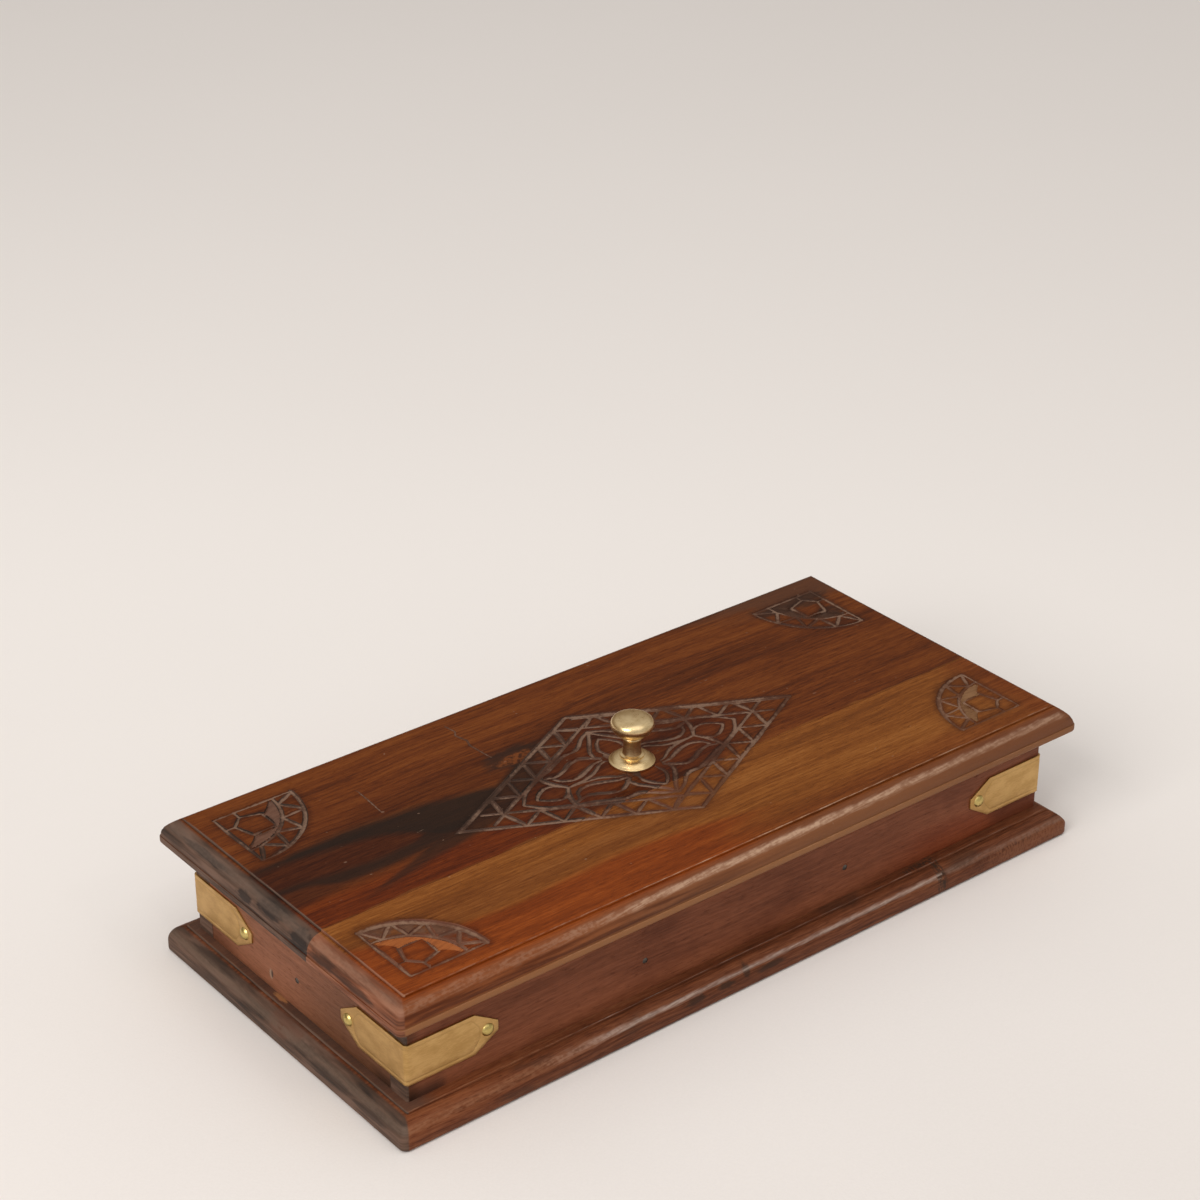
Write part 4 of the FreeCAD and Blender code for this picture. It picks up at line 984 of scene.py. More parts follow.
def mouldedBoard(name, keys, corner, profile, slope, floor, top, under):
    # Rings follow the profile; patches close the top, the underside and the cut faces.
    shell = Shell()
    rings = []
    corners = []
    for inset, level, wear in profile:
        ring = []
        flat = contour(keys, inset)
        for index, place in enumerate(flat):
            place = np.array((*place, floor + level))
            if 0 < index < len(flat) - 1:
                dent = noise.noise_vector(Vector(place * np.array(plate["dentScales"])))
                place = place + np.array(dent) * plate["dent"] * max(0.0, wear)
            ring.append(place)
        ring, above = planed(slope, floor, ring)
        rings.append(list(ring))
        wears = [plate["planedWear"] if cut else wear for cut in above]
        corners.append([shell.point(place, {"wear": worn}) for place, worn in zip(ring, wears)])
    for lower, upper in zip(corners[:-1], corners[1:]):
        shell.strip(lower, upper)

    closing = []
    for ring, (lift, step) in ((rings[-1], top[1:]), (rings[0], under[1:])):
        turns = [ring[-1][:2], *corner, ring[0][:2]]
        legs = []
        for start, end in zip(turns[:-1], turns[1:]):
            start, end = np.array(start), np.array(end)
            count = max(1, int(round(np.linalg.norm(end - start) / step)))
            flat = np.array([start + (end - start) * share for share in np.linspace(0.0, 1.0, count + 1)])
            legs.append(lift(flat)[0])
        legs[0][0] = ring[-1]
        legs[-1][-1] = ring[0]
        closing.append(legs)
    for ring, legs, (inner, lift, _) in ((rings[-1], closing[0], top), (rings[0], closing[1], under)):
        rim = [*ring, *[place for leg in legs for place in leg[1:]][:-1]]
        spots, lines = inner
        lines = [(first + len(rim), last + len(rim)) for first, last in lines]
        shell.patch(rim, [place[:2] for place in rim], spots, lines, lift)
    for index, (upper, lower) in enumerate(zip(*closing)):
        rim = [*upper[:-1]]
        if index == len(closing[0]) - 1:
            rim += [ring[0] for ring in reversed(rings)]
        else:
            rim += [upper[-1], lower[-1]]
        rim += list(lower[-2:0:-1])
        if index == 0:
            rim += [ring[-1] for ring in rings[:-1]]
        else:
            rim.append(lower[0])
        run = upper[-1][:2] - upper[0][:2]
        run = run / np.linalg.norm(run)
        flat = [(float(np.dot(place[:2], run)), float(place[2])) for place in rim]
        shell.patch(rim, flat, [], [], lambda spots: (np.zeros((len(spots), 3)), {}))
    return shell.finish(name, plate["sharp"])


def carvedLift(seam, top):
    def lift(spots):
        depth, cut, chip, soot = carvedDepth(spots)
        ease = np.clip(1.0 - np.abs(spots[:, 1] - seam) / plate["seamReach"], 0.0, 1.0)
        levels = top - np.maximum(depth, plate["seamEase"] * ease)
        marks = {"cut": cut, "chip": chip, "soot": soot, "wear": plate["seamDirt"] * ease}
        return np.column_stack((spots, levels)), marks
    return lift


# A pocket's sides lean by the first of these; the second keeps points on its rim level.
pocketLean = 0.02
pocketRim = 0.005


def sunkLift(level, sinks, pockets):
    # An underside with countersinks for screw heads and pockets for the hinges.
    def lift(spots):
        depth = np.zeros(len(spots))
        for x, y, radius, deep in sinks:
            reach = np.hypot(spots[:, 0] - x, spots[:, 1] - y)
            depth = np.maximum(depth, np.clip((radius - reach) * 2.0 * deep / radius, 0.0, deep))
        for x, half, front, axis, deep, barrel in pockets:
            inside = np.abs(spots[:, 0] - x) < half - pocketRim
            flat = inside & (spots[:, 1] > front + pocketRim) & (spots[:, 1] < axis)
            depth = np.where(flat, np.maximum(depth, deep), depth)
            away = np.clip(barrel ** 2 - (spots[:, 1] - axis) ** 2, 0.0, None)
            depth = np.where(inside, np.maximum(depth, np.sqrt(away)), depth)
        return np.column_stack((spots, level + depth)), {}
    return lift


def sunkSpots(sinks, pockets):
    spots = []
    lines = []

    def loop(points, closed):
        first = len(spots)
        spots.extend(points)
        last = len(points) if closed else len(points) - 1
        lines.extend((first + index, first + (index + 1) % len(points)) for index in range(last))

    for x, y, radius, _ in sinks:
        for share in (1.0, 0.5):
            loop([tuple(place) for place in arc((x, y), radius * share, 0.0, 342.0, 19)], True)
        spots.append((x, y))
    for x, half, front, axis, _, barrel in pockets:
        groove = axis - barrel * np.cos(np.linspace(0.0, math.pi, 13))
        for gap in (0.0, pocketLean):
            left, right = x - half + gap, x + half - gap
            rows = [front + gap, *groove[1:-1], axis + barrel]
            loop([(left, y) for y in rows] + [(right, y) for y in reversed(rows)], True)
        for y in groove[1:-1]:
            loop([(x - half + pocketLean, y), (x + half - pocketLean, y)], False)
    return spots, lines


lidSeam, baseSeam, baseButt = lidLow[1], baseLow[1], frontHigh[0]
caseLow, caseHigh = boxOf("front_wall")
caseHalf = np.array((caseHigh[0], -caseLow[1]))
wallMiddle = caseHalf - 0.5 * (caseHigh[1] - caseLow[1])
baseScrews = {"lengthShares": (-0.36, 0.0, 0.36), "widthShares": (-0.2, 0.2), "head": 3.5, "deep": 2.4,
              "shank": 1.75, "slot": (0.9, 1.0), "length": 24.0}
screwPlaces = [(share * 2.0 * caseHalf[0], side * wallMiddle[1])
               for share in baseScrews["lengthShares"] for side in (-1, 1)]
screwPlaces += [(side * wallMiddle[0], share * 2.0 * caseHalf[1])
                for share in baseScrews["widthShares"] for side in (-1, 1)]
sinkGap = 0.05
sinkSize = (baseScrews["head"] + sinkGap, baseScrews["deep"])
# Name, material, slot, moulded edges and cut corner of each board of the base.
baseBoards = {
    "base_rear_board": ("moulded_base_rear", baseWood, "dark_wood", (
        (-halfX, baseSeam), (-halfX, halfY), (halfX, halfY), (halfX, baseSeam)), []),
    "base_front_left_board": ("moulded_base_front", baseWood, "dark_wood", (
        (baseButt, -halfY), (-halfX, -halfY), (-halfX, baseSeam)), [(baseButt, baseSeam)]),
    "base_front_right_board": ("moulded_base_piece", basePieceWood, "red_wood", (
        (halfX, baseSeam), (halfX, -halfY), (baseButt, -halfY)), [(baseButt, baseSeam)]),
}
for node, (name, material, slot, keys, corner) in baseBoards.items():
    low, high = boxOf(node)
    sinks = [(x, y, *sinkSize) for x, y in screwPlaces if low[0] < x < high[0] and low[1] < y < high[1]]
    brows = browSpots(baseSlope, low, high, basePlate["browStep"]) if high[0] == halfX else []
    top = ((brows, []), planedLift(baseSlope, low[2], flatLift(high[2])), basePlate["rimStep"])
    under = (sunkSpots(sinks, []), sunkLift(low[2], sinks, []), plate["underStep"])
    mesh = mouldedBoard(name, keys, corner, profile(basePlate), baseSlope, low[2], top, under)
    addPiece(name, mesh, material, "case", slot, node)

leafLow, leafHigh = boxOf("right_hinge_lid_leaf")
hingePlace = 0.5 * (leafLow[0] + leafHigh[0])
hinge = {"places": (-hingePlace, hingePlace), "half": 19.1, "front": leafLow[1] - 0.1, "axis": 76.25,
         "deep": 1.35, "barrel": 2.9}
knobScrew = {"head": 4.0, "deep": 2.4, "shank": 2.0, "slot": (1.0, 1.0), "length": 20.0}
pockets = [(x, hinge["half"], hinge["front"], hinge["axis"], hinge["deep"], hinge["barrel"])
           for x in hinge["places"]]
knobSinks = [(*knobPlace, knobScrew["head"] + sinkGap, knobScrew["deep"])]
# Name, material, slot, side of the seam, sinks and hinge pockets of each board of the lid.
lidBoards = {"lid_rear_board": ("carved_lid_rear", lidRearWood, "red_wood", 1, knobSinks, pockets),
             "lid_front_board": ("carved_lid_front", lidFrontWood, "golden_wood", -1, [], [])}
for node, (name, material, slot, side, sinks, recesses) in lidBoards.items():
    low, high = boxOf(node)
    keys = [(-side * halfX, lidSeam), (-side * halfX, side * halfY), (side * halfX, side * halfY),
            (side * halfX, lidSeam)]
    inset = lidPlate["topInset"]
    fieldLow = [low[0] + inset, low[1] + (0.0 if side > 0 else inset)]
    fieldHigh = [high[0] - inset, high[1] - (inset if side > 0 else 0.0)]
    spots = carvedSpots(fieldLow, fieldHigh)
    spots = spots[np.abs(spots[:, 1] - lidSeam) > plate["seamReach"] + plate["seamGap"]]
    seamRow = lidSeam + side * plate["seamReach"]
    seamSpots = [(x, seamRow) for x in np.arange(fieldLow[0] + 1.0, fieldHigh[0] - 0.5, lidPlate["seamStep"])]
    brows = browSpots(lidSlope, low, high, lidPlate["browStep"])
    inner = ([*map(tuple, spots), *seamSpots, *brows], [])
    top = (inner, planedLift(lidSlope, low[2], carvedLift(lidSeam, high[2])), lidPlate["rimStep"])
    under = (sunkSpots(sinks, recesses), sunkLift(low[2], sinks, recesses), plate["underStep"])
    mesh = mouldedBoard(name, keys, [], profile(lidPlate), lidSlope, low[2], top, under)
    addPiece(name, mesh, material, "lid", slot, node)
print("boards made")


# How far edges are softened and which edges count, in millimetres unless the name says.
easing = {"wall": 0.35, "divider": 0.5, "weld": 0.001, "flatDegrees": 1.0, "shortest": 2.0,
          "leastRadians": 1.0, "onFace": 0.001}


def easedCopy(node, ease):
    # The CAD piece with its long edges softened.
    copy = bmesh.new()
    copy.from_mesh(nodes[node].data)
    bmesh.ops.remove_doubles(copy, verts=copy.verts, dist=easing["weld"] * mm)
    flat = math.radians(easing["flatDegrees"])
    bmesh.ops.dissolve_limit(copy, angle_limit=flat, verts=copy.verts, edges=copy.edges)
    low, high = (value * mm for value in boxOf(node))
    near = easing["onFace"] * mm
    chosen = []
    for line in copy.edges:
        middle = np.array(0.5 * (line.verts[0].co + line.verts[1].co))
        sides = np.sum(np.abs(middle - low) < near) + np.sum(np.abs(middle - high) < near)
        bend = line.calc_face_angle(0.0)
        if sides > 1 and line.calc_length() > easing["shortest"] * mm and bend > easing["leastRadians"]:
            chosen.append(line)
    bmesh.ops.bevel(copy, geom=chosen, offset=ease * mm, segments=2, profile=0.5, affect="EDGES",
                    clamp_overlap=True)
    bmesh.ops.triangulate(copy, faces=copy.faces)
    mesh = bpy.data.meshes.new(node)
    copy.to_mesh(mesh)
    copy.free()
    return mesh


wallLooks = {
    "front_wall": ("eased_front_wall", longWallWood, "red_wood", easing["wall"]),
    "rear_wall": ("eased_rear_wall", longWallWood, "red_wood", easing["wall"]),
    "left_wall": ("eased_left_wall", endWallWood, "red_wood", easing["wall"]),
    "right_wall": ("eased_right_wall", endWallWood, "red_wood", easing["wall"]),
    "long_divider": ("eased_long_divider", longDividerWood, "divider_wood", easing["divider"]),
    "left_cross_divider": ("eased_left_divider", crossDividerWood, "divider_wood", easing["divider"]),
    "right_cross_divider": ("eased_right_divider", crossDividerWood, "divider_wood", easing["divider"]),
}
for node, (name, material, slot, ease) in wallLooks.items():
    addPiece(name, easedCopy(node, ease), material, "case", slot, node)
print("walls and dividers made")

# Straps are laid out flat, then bent round the corner of the case.
strap = {"thick": 0.8, "arm": 42.0, "height": 18.4, "taper": 11.0, "tip": 4.5, "inner": 1.0, "corner": 0.7,
         "scribe": 2.0, "scribeWidth": 0.7, "scribeDepth": 0.1, "panel": 33.4, "panelTip": 5.0,
         "panelTaper": 3.6, "panelCorner": 2.4, "panelStep": 0.8, "uneven": 0.03, "nailInset": 5.0,
         "sharp": 40.0, "edges": ((0.0, 0.0), (0.0, 0.5), (0.08, 0.7), (0.28, 0.8)), "longEdge": 20.0,
         "stops": (-12.0, 12.0, -24.0, 24.0, -6.0, 6.0), "scribeGaps": (-0.55, -0.25, 0.0, 0.25, 0.55),
         "gridRun": (-39.0, 39.5, 3.0), "gridRise": (-8.0, 8.5, 2.0), "bendRise": (-8.4, 8.5, 0.8),
         "backRise": (-6.0, 0.0, 6.0), "taperSlope": 0.64, "rimGap": 0.5, "endGap": 0.6, "cell": 0.15,
         "scribeEase": 0.2, "unevenScales": (0.16, 0.2), "unevenShifts": (9.0, 5.0)}
bendHalf = 0.25 * math.pi * (strap["inner"] + 0.5 * strap["thick"])
armEnd = strap["arm"] - strap["inner"] + bendHalf
strapLow, strapHigh = boxOf("front_left_corner_strap")
strapMiddle = 0.5 * (strapLow[2] + strapHigh[2])
bendStops = [share * bendHalf for share in np.linspace(-1.0, 1.0, 9)]


def hexagon(end, taper, height, tip):
    shoulder = end - taper
    return [(shoulder, 0.5 * height), (end, 0.5 * tip), (end, -0.5 * tip), (shoulder, -0.5 * height),
            (-shoulder, -0.5 * height), (-end, -0.5 * tip), (-end, 0.5 * tip), (-shoulder, 0.5 * height)]


def roundedLoop(keys, inset, radius, steps):
    # A convex outline moved inwards, with rounded corners.
    keys = np.array(keys, float)
    loops = []
    count = len(keys)
    for index in range(count):
        before, key, after = keys[index - 1], keys[index], keys[(index + 1) % count]
        first = (key - before) / np.linalg.norm(key - before)
        second = (after - key) / np.linalg.norm(after - key)
        inFirst = np.array((first[1], -first[0]))
        inSecond = np.array((second[1], -second[0]))
        middle = inFirst + inSecond
        middle = middle / (1.0 + np.dot(inFirst, inSecond))
        centre = key + middle * (inset + radius)
        start = math.atan2(-inFirst[1], -inFirst[0])
        sweep = math.atan2(first[0] * second[1] - first[1] * second[0], np.dot(first, second))
        for share in np.linspace(0.0, 1.0, steps + 1):
            turn = start + sweep * share
            loops.append(centre + radius * np.array((math.cos(turn), math.sin(turn))))
    return loops


def withStops(loop):
    # Adds points on the long edges where the strap bends.
    rows = []
    for index, spot in enumerate(loop):
        after = loop[(index + 1) % len(loop)]
        rows.append(spot)
        if abs(after[0] - spot[0]) > strap["longEdge"]:
            for stop in sorted([*bendStops, *strap["stops"]], reverse=bool(after[0] < spot[0])):
                share = (stop - spot[0]) / (after[0] - spot[0])
                rows.append(spot + (after - spot) * share)
    return rows


def bent(spots, rise):
    # Takes flat run, height and lift to places about the corner of the case.
    run, level = spots[:, 0], spots[:, 1]
    reach = strap["inner"] + rise
    turn = np.radians(225.0) + np.clip(run / bendHalf, -1.0, 1.0) * 0.25 * math.pi
    x = strap["inner"] + reach * np.cos(turn) + np.clip(run - bendHalf, 0.0, None)
    y = strap["inner"] + reach * np.sin(turn) + np.clip(-run - bendHalf, 0.0, None)
    return np.column_stack((x, y, strapMiddle + level))


strapOutline = hexagon(armEnd, strap["taper"], strap["height"], strap["tip"])
panelOutline = hexagon(strap["panel"], strap["panelTaper"], strap["height"] - 2.0 * strap["scribe"],
                       strap["panelTip"])
panelLoop = roundedLoop(panelOutline, 0.0, strap["panelCorner"], 6)
panelLine = resample([*panelLoop, panelLoop[0]], strap["panelStep"], False)[0]


def scribed(spots):
    away = np.linalg.norm(spots[:, None, :] - panelLine[None, :, :], axis=2).min(axis=1)
    return np.clip(1.0 - away / (0.5 * strap["scribeWidth"] + strap["scribeEase"]), 0.0, 1.0)


def strapMesh(name, sideX, sideY):
    shell = Shell()
    corner = np.array((sideX * caseHalf[0], sideY * caseHalf[1], 0.0))
    turn = np.array((-sideX, -sideY, 1.0))

    def settle(spots, rise):
        return corner + bent(spots, rise) * turn

    rings = []
    corners = []
    for inset, rise in strap["edges"]:
        flat = np.array(withStops(roundedLoop(strapOutline, inset, strap["corner"], 3)))
        ring = settle(flat, np.full(len(flat), rise))
        rings.append((flat, ring))
        corners.append([shell.point(spot, {"wear": 1.0}) for spot in ring])
    for lower, upper in zip(corners[:-1], corners[1:]):
        shell.strip(lower, upper, True)
    side = sideways(panelLine)
    rows = [panelLine + side * gap for gap in strap["scribeGaps"]]
    gridRun, gridRise, bendRise = (np.arange(*strap[name]) for name in ("gridRun", "gridRise", "bendRise"))
    rows.append(np.array([(x, y) for x in gridRun for y in gridRise]))
    rows.append(np.array([(x, y) for x in bendStops for y in bendRise]))
    spots = np.vstack(rows)
    tapered = np.clip(np.abs(spots[:, 0]) - (armEnd - strap["taper"]), 0.0, None)
    limit = 0.5 * strap["height"] - strap["rimGap"] - tapered * strap["taperSlope"]
    inside = (np.abs(spots[:, 1]) < limit) & (np.abs(spots[:, 0]) < armEnd - strap["endGap"])
    spots = thinned(spots[inside], strap["cell"])

    def front(places):
        groove = scribed(places)
        shift = np.array((sideX, sideY)) * np.array(strap["unevenShifts"])
        scaled = places * np.array(strap["unevenScales"]) + shift
        uneven = [noise.noise(Vector((*spot, 0.0))) for spot in scaled]
        rise = strap["thick"] - strap["scribeDepth"] * groove + strap["uneven"] * np.array(uneven)
        return settle(places, rise), {"cut": groove}

    def back(places):
        return settle(places, np.zeros(len(places))), {}

    columns = [(x, y) for x in bendStops for y in strap["backRise"]]
    for (flat, ring), inner, lift in ((rings[-1], spots, front), (rings[0], columns, back)):
        shell.patch(list(ring), [tuple(spot) for spot in flat], [tuple(spot) for spot in inner], [], lift)
    return shell.finish(name, strap["sharp"])


corners = {"front_left": (-1, -1), "front_right": (1, -1), "rear_right": (1, 1), "rear_left": (-1, 1)}
for corner, (sideX, sideY) in corners.items():
    name = "scribed_" + corner + "_strap"
    mesh = strapMesh(name, sideX, sideY)
    addPiece(name, mesh, sheetBrass, "case", "satin_brass", corner + "_corner_strap")
print("straps made")


def turnedTree():
    # Turns a profile round its axis and sets it at every spot, aimed and twisted.
    tree = bpy.data.node_groups.new("turnedPieces", "GeometryNodeTree")
    kinds = {"Spots": "Geometry", "Profile": "Object", "Around": "Int", "Slot Length": "Float",
             "Slot Width": "Float", "Slot Depth": "Float", "Seed": "Int", "Material": "Material"}
    for name, kind in kinds.items():
        tree.interface.new_socket(name=name, in_out="INPUT", socket_type="NodeSocket" + kind)
    tree.interface.new_socket(name="Pieces", in_out="OUTPUT", socket_type="NodeSocketGeometry")
    source = tree.nodes.new("NodeGroupInput")
    given = {name: Wire(tree, source.outputs[name]) for name in kinds}
    around = given["Around"]
    outline = around.node("GeometryNodeObjectInfo", {}, {"Object": given["Profile"]}, "Geometry")
    count = around.node("GeometryNodeAttributeDomainSize", {}, {0: outline}, "Point Count")
    columns = around + 1.0
    grid = around.node("GeometryNodeMeshGrid", {}, {"Vertices X": count, "Vertices Y": columns}, "Mesh")
    index = around.node("GeometryNodeInputIndex", {}, {})
    row = ((index + 0.5) / columns).single("FLOOR")
    turn = (index - row * columns) * (2.0 * math.pi) / around
    position = around.node("GeometryNodeInputPosition", {}, {})
    profile = around.node("GeometryNodeSampleIndex", {"data_type": "FLOAT_VECTOR"},
                          {"Geometry": outline, "Value": position, "Index": row})
    reach = part(profile, 0)
    spot = combined(reach * turn.single("COSINE"), reach * turn.single("SINE"), part(profile, 2))
    turned = around.node("GeometryNodeSetPosition", {}, {"Geometry": grid, "Position": spot})
    welded = around.node("GeometryNodeMergeByDistance", {}, {"Geometry": turned, "Distance": 0.001 * mm})
    size = combined(given["Slot Length"], given["Slot Width"], given["Slot Depth"] * 2.0)
    bar = around.node("GeometryNodeMeshCube", {}, {"Size": size}, "Mesh")
    slotted = around.node("GeometryNodeMeshBoolean", {"operation": "DIFFERENCE"},
                          {"Mesh 1": welded, "Mesh 2": bar}, "Mesh")
    wanted = around.node("FunctionNodeCompare", {"operation": "GREATER_THAN"},
                         {0: given["Slot Width"], 1: 0.0})
    piece = around.node("GeometryNodeSwitch", {"input_type": "GEOMETRY"},
                        {"Switch": wanted, "False": welded, "True": slotted})
    aim = around.node("GeometryNodeInputNamedAttribute", {"data_type": "FLOAT_VECTOR"}, {"Name": "aim"})
    aligned = around.node("FunctionNodeAlignRotationToVector", {"axis": "Z"}, {"Vector": aim})
    chance = around.node("FunctionNodeRandomValue", {}, {3: 2.0 * math.pi, "Seed": given["Seed"]}, 1)
    twist = around.node("FunctionNodeEulerToRotation", {}, {
        0: around.node("ShaderNodeCombineXYZ", {}, {"Z": chance})})
    rotation = around.node("FunctionNodeRotateRotation", {"rotation_space": "LOCAL"},
                           {"Rotation": aligned, "Rotate By": twist})
    placed = around.node("GeometryNodeInstanceOnPoints", {}, {
        "Points": given["Spots"], "Instance": piece, "Rotation": rotation})
    real = around.node("GeometryNodeRealizeInstances", {}, {"Geometry": placed})
    dressed = around.node("GeometryNodeSetMaterial", {}, {"Geometry": real, "Material": given["Material"]})
    output = tree.nodes.new("NodeGroupOutput")
    tree.links.new(dressed.socket, output.inputs["Pieces"])
    return tree


turning = turnedTree()
turnedSharp = 35.0
noScrew = {"head": 0.0, "slot": (0.0, 0.0)}
slotReach = 3.0


def addTurned(name, replaced, body, finish, outline, spots, aims, around, seed, screw=noScrew):
    # Sets a turned outline at every spot; a screw's head gets its slot.
    material, slot = finish
    slotWidth, slotDepth = screw["slot"]
    helper = bpy.data.meshes.new(name + "_profile")
    helper.from_pydata([(radius * mm, 0.0, level * mm) for radius, level in outline], [], [])
    profileHost = bpy.data.objects.new(name + "_profile", helper)
    mesh = bpy.data.meshes.new(name + "_spots")
    mesh.from_pydata([tuple(np.array(spot) * mm) for spot in spots], [], [])
    aimed = mesh.attributes.new("aim", "FLOAT_VECTOR", "POINT")
    aimed.data.foreach_set("vector", np.array(aims, float).ravel())
    host = bpy.data.objects.new(name + "_host", mesh)
    scene.collection.objects.link(profileHost)
    scene.collection.objects.link(host)
    modifier = host.modifiers.new("turned", "NODES")
    modifier.node_group = turning
    values = {"Profile": profileHost, "Around": around, "Slot Length": slotReach * screw["head"] * mm,
              "Slot Width": slotWidth * mm, "Slot Depth": slotDepth * mm, "Seed": seed, "Material": material}
    for item in turning.interface.items_tree:
        if item.in_out == "INPUT" and item.name in values:
            modifier[item.identifier] = values[item.name]
    settled = host.evaluated_get(bpy.context.evaluated_depsgraph_get())
    made = bpy.data.meshes.new_from_object(settled)
    host.modifiers.remove(modifier)
    bpy.data.objects.remove(host)
    bpy.data.objects.remove(profileHost)
    fixed = bmesh.new()
    fixed.from_mesh(made)
    bmesh.ops.recalc_face_normals(fixed, faces=fixed.faces)
    fixed.to_mesh(made)
    fixed.free()
    smoothMesh(made, turnedSharp)
    addPiece(name, made, material, body, slot, replaced)


def bow(start, end, bulge, steps):
    # An arc from one point to another; the bulge is its rise as a share of half the chord.
    start, end = np.array(start), np.array(end)
    chord = end - start
    side = np.array((chord[1], -chord[0]))
    rows = []
    for share in np.linspace(0.0, 1.0, steps + 1):
        rows.append(tuple(start + chord * share + side * 2.0 * bulge * share * (1.0 - share)))
    return rows


knobFinish = (knobBrass, "polished_brass")
nailFinish = (nailBrass, "polished_brass")
sheetFinish = (sheetBrass, "satin_brass")
steelFinish = (dullSteel, "dull_steel")
upward = (0, 0, 1)
# The knob's outline: plain points, and bows with their two ends, bulge and steps.
knob = {
    "flange": ((0.0, 0.0), (9.5, 0.0), (9.7, 0.2), (9.7, 0.85), (9.45, 1.1)),
    "flangeBow": ((9.1, 1.2), (5.2, 3.2), 0.2, 8), "ring": ((5.2, 3.9), (5.0, 4.0)),
    "waistBow": ((4.1, 4.2), (3.6, 7.9), -0.05, 8), "neckBow": ((3.6, 8.3), (4.0, 11.0), -0.03, 6),
    "beadBow": ((4.2, 11.1), (4.2, 12.1), 0.5, 6), "lowerBow": ((4.3, 12.3), (9.2, 17.3), 0.22, 12),
    "upperBow": ((9.2, 17.4), (6.0, 20.9), 0.42, 12),
    "dome": ((4.5, 21.12), (3.0, 21.27), (1.5, 21.36), (0.0, 21.4)),
}
knobOutline = [*knob["flange"], *bow(*knob["flangeBow"]), *knob["ring"], *bow(*knob["waistBow"]),
               *bow(*knob["neckBow"]), *bow(*knob["beadBow"]), *bow(*knob["lowerBow"])[1:],
               *bow(*knob["upperBow"])[1:], *knob["dome"]]
addTurned("turned_knob", "knob", "lid", knobFinish, knobOutline, [(*knobPlace, knobLow[2])], [upward],
          around=96, seed=3)

# Fasteners are drawn with the head's face at zero and the point ahead.
domedNail = ((0.0, -1.5), (1.0, -1.38), (1.9, -1.02), (2.5, -0.48), (2.8, 0.0), (0.9, 0.0), (0.9, 6.0),
             (0.0, 6.0))
flatNail = {"head": 1.25, "thick": 0.6, "shank": 0.8, "face": 0.05, "rim": 0.15, "point": 1.0, "wall": 20.0,
            "divider": 18.0}
screwPoint = 2.0


def flatOutline(length):
    head, thick, shank = flatNail["head"], flatNail["thick"], flatNail["shank"]
    return [(0.0, flatNail["face"]), (head - flatNail["rim"], flatNail["face"]), (head, flatNail["rim"]),
            (head, thick), (shank, thick), (shank, length - flatNail["point"]), (0.0, length)]


def screwOutline(size, length):
    shank = size["shank"]
    return [(0.0, 0.0), (size["head"], 0.0), (shank, size["deep"]), (shank, length - screwPoint),
            (0.0, length)]


wallNailLow, wallNailHigh = boxOf("wall_nails")
wallNailLevels = (wallNailLow[2] + flatNail["head"], wallNailHigh[2] - flatNail["head"])
nailTip = strap["arm"] - strap["nailInset"]
strapNails = []
wallNails = []
for sideX, sideY in corners.values():
    strapNails.append(((sideX * (caseHalf[0] - nailTip), sideY * (caseHalf[1] + strap["thick"]), strapMiddle),
                       (0, -sideY, 0)))
    strapNails.append(((sideX * (caseHalf[0] + strap["thick"]), sideY * (caseHalf[1] - nailTip), strapMiddle),
                       (-sideX, 0, 0)))
    for level in wallNailLevels:
        wallNails.append(((sideX * wallMiddle[0], sideY * caseHalf[1], level), (0, -sideY, 0)))
crossPlace = 0.5 * sum(boxOf("right_cross_divider"))[0]
nailLevel = 0.5 * sum(boxOf("divider_nails"))[2]
dividerNails = []
for side in (-1, 1):
    dividerNails += [((x, side * caseHalf[1], nailLevel), (0, -side, 0)) for x in (-crossPlace, crossPlace)]
    dividerNails.append(((side * caseHalf[0], 0.0, nailLevel), (-side, 0, 0)))
addTurned("domed_strap_nails", "corner_strap_nails", "case", nailFinish, domedNail, *zip(*strapNails),
          around=18, seed=5)
addTurned("flat_wall_nails", "wall_nails", "case", steelFinish, flatOutline(flatNail["wall"]),
          *zip(*wallNails), around=12, seed=7)
addTurned("flat_divider_nails", "divider_nails", "case", steelFinish, flatOutline(flatNail["divider"]),
          *zip(*dividerNails), around=12, seed=9)

spots = [(x, y, baseLow[2]) for x, y in screwPlaces]
outline = screwOutline(baseScrews, baseScrews["length"])
addTurned("slotted_base_screws", "base_screws", "case", steelFinish, outline, spots,
          [upward] * len(spots), around=16, seed=11, screw=baseScrews)
outline = screwOutline(knobScrew, knobScrew["length"])
addTurned("slotted_knob_screw", "knob_screw", "lid", steelFinish, outline,
          [(*knobPlace, lidLow[2])], [upward], around=16, seed=13, screw=knobScrew)
hingeScrew = {"head": 2.2, "deep": 1.1, "shank": 1.1, "slot": (0.6, 0.5), "shares": (-0.34, 0.0, 0.34),
              "row": 68.75}
for body, heading in (("case", -1), ("lid", 1)):
    replaced = "hinge_" + body + "_screws"
    low, high = boxOf(replaced)
    level = high[2] if heading < 0 else low[2]
    spots = [(x + share * (leafHigh[0] - leafLow[0]), hingeScrew["row"], level)
             for x in hinge["places"] for share in hingeScrew["shares"]]
    outline = screwOutline(hingeScrew, high[2] - low[2])
    addTurned("slotted_" + replaced, replaced, body, sheetFinish, outline, spots,
              [(0, 0, heading)] * len(spots), around=14, seed=15 + heading, screw=hingeScrew)
for side in ("left", "right"):
    dress(sheetBrass, side + "_hinge_case_leaf", side + "_hinge_lid_leaf")
    dress(dullSteel, side + "_hinge_pin")
print("turned pieces made")
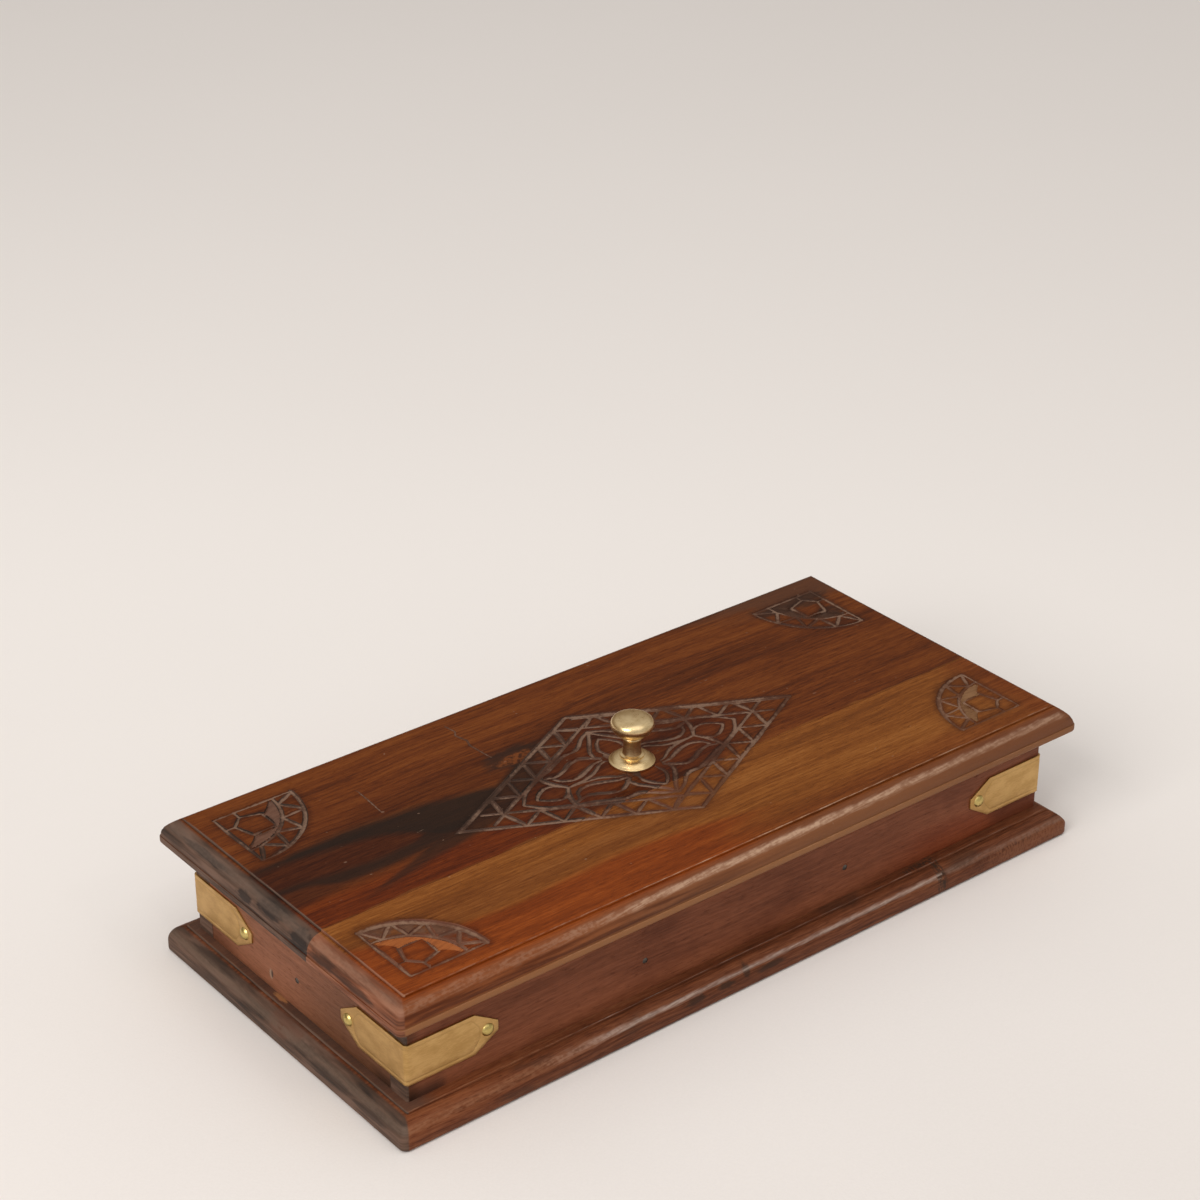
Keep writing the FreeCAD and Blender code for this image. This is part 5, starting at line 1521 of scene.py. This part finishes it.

# The floor is pale, and painted lighter towards the rear right, where the lamps leave it dimmer.
cloth, clothPlace = startMaterial("cloth")[:2]
weave = mottle(clothPlace, (0.9, 0.9, 0.9), 3.0, 4.0)
folds = mottle(clothPlace, (0.004, 0.004, 0.004), 2.0, 9.0)
clothTone = soft(folds * 0.7 + weave * 0.3, 0.3, 0.7)
clothColour = ramped(clothTone, [(0.0, (0.77, 0.735, 0.715)), (1.0, (0.81, 0.775, 0.755))])
clothPaintedLight = soft(part(clothPlace, 0) * 0.7 + part(clothPlace, 1) * 0.7, -250.0, 350.0)
clothColour = blend(clothColour, (0.93, 0.9, 0.88), clothPaintedLight * 0.85)
finishMaterial(cloth, {"Base Color": clothColour, "Roughness": 0.9, "Specular IOR Level": 0.1}, weave, 0.05)
floorHalf = 5.0
floorLevel = -0.0002
floorMesh = bpy.data.meshes.new("floor")
floorCorners = [(sideX * floorHalf, sideY * floorHalf, floorLevel)
                for sideX, sideY in ((-1, -1), (1, -1), (1, 1), (-1, 1))]
floorMesh.from_pydata(floorCorners, [], [(0, 1, 2, 3)])
floorMesh.materials.append(cloth)
floor = bpy.data.objects.new("floor", floorMesh)
scene.collection.objects.link(floor)

# Light: a bright room above, tan and dimmer low behind the box.
world = bpy.data.worlds.new("room")
scene.world = world
world.use_nodes = True
world.node_tree.nodes.clear()
sky = world.node_tree.nodes.new("ShaderNodeTexCoord")
heading = Wire(world.node_tree, sky.outputs["Generated"])
rise = soft(part(heading, 2), 0.25, 0.75)
behind = soft(part(heading, 1), -0.25, 0.35)
low = blend((0.66, 0.63, 0.6), (0.28, 0.2, 0.13), behind)
room = blend(low, (0.8, 0.77, 0.74), rise)
background = addNode(world.node_tree, "ShaderNodeBackground", {}, {"Color": room, "Strength": 0.76})
output = world.node_tree.nodes.new("ShaderNodeOutputWorld")
world.node_tree.links.new(background.outputs[0], output.inputs[0])

# Place, height aimed at, size, power and colour of each lamp.
lampLook = (0.05, 0.12, 0.9, (1.0, 0.96, 0.9))
lamps = {
    "window": ((-1.7, -0.5, 1.35), 0.0, 1.2, 26.0, (1.0, 0.97, 0.93)),
    "ceiling": ((0.1, -0.5, 2.0), 0.0, 1.6, 6.0, (1.0, 0.98, 0.95)),
    "lampLeft": ((-1.3, -0.9, 1.5), *lampLook), "lampRight": ((0.2, -1.5, 1.5), *lampLook),
    "lampNear": ((-0.5, -1.1, 1.7), *lampLook), "lampLow": ((-0.9, -0.4, 1.9), *lampLook),
}
for name, (spot, aim, size, power, colour) in lamps.items():
    data = bpy.data.lights.new(name, "AREA")
    data.size = size
    data.energy = power
    data.color = colour
    lamp = bpy.data.objects.new(name, data)
    lamp.location = spot
    lamp.rotation_euler = (Vector((0.0, 0.0, aim)) - Vector(spot)).to_track_quat("-Z", "Y").to_euler()
    scene.collection.objects.link(lamp)

view = {"place": (-0.63645, -0.76965, 0.66651), "right": (0.78079501, -0.62477484, 0.00394433),
        "down": (-0.28933058, -0.36716381, -0.88401276), "forward": (0.55375714, 0.68909153, -0.46744613),
        "lens": 84.4447, "sensor": 36.0}
cameraData = bpy.data.cameras.new("camera")
cameraData.lens = view["lens"]
cameraData.sensor_width = view["sensor"]
cameraData.sensor_fit = "HORIZONTAL"
cameraData.dof.use_dof = False
camera = bpy.data.objects.new("camera", cameraData)
axes = Matrix((Vector(view["right"]), -Vector(view["down"]), -Vector(view["forward"]))).transposed()
camera.matrix_world = Matrix.Translation(view["place"]) @ axes.to_4x4()
scene.collection.objects.link(camera)
scene.camera = camera
scene.view_settings.view_transform = "Standard"
print("stage, light and camera made")
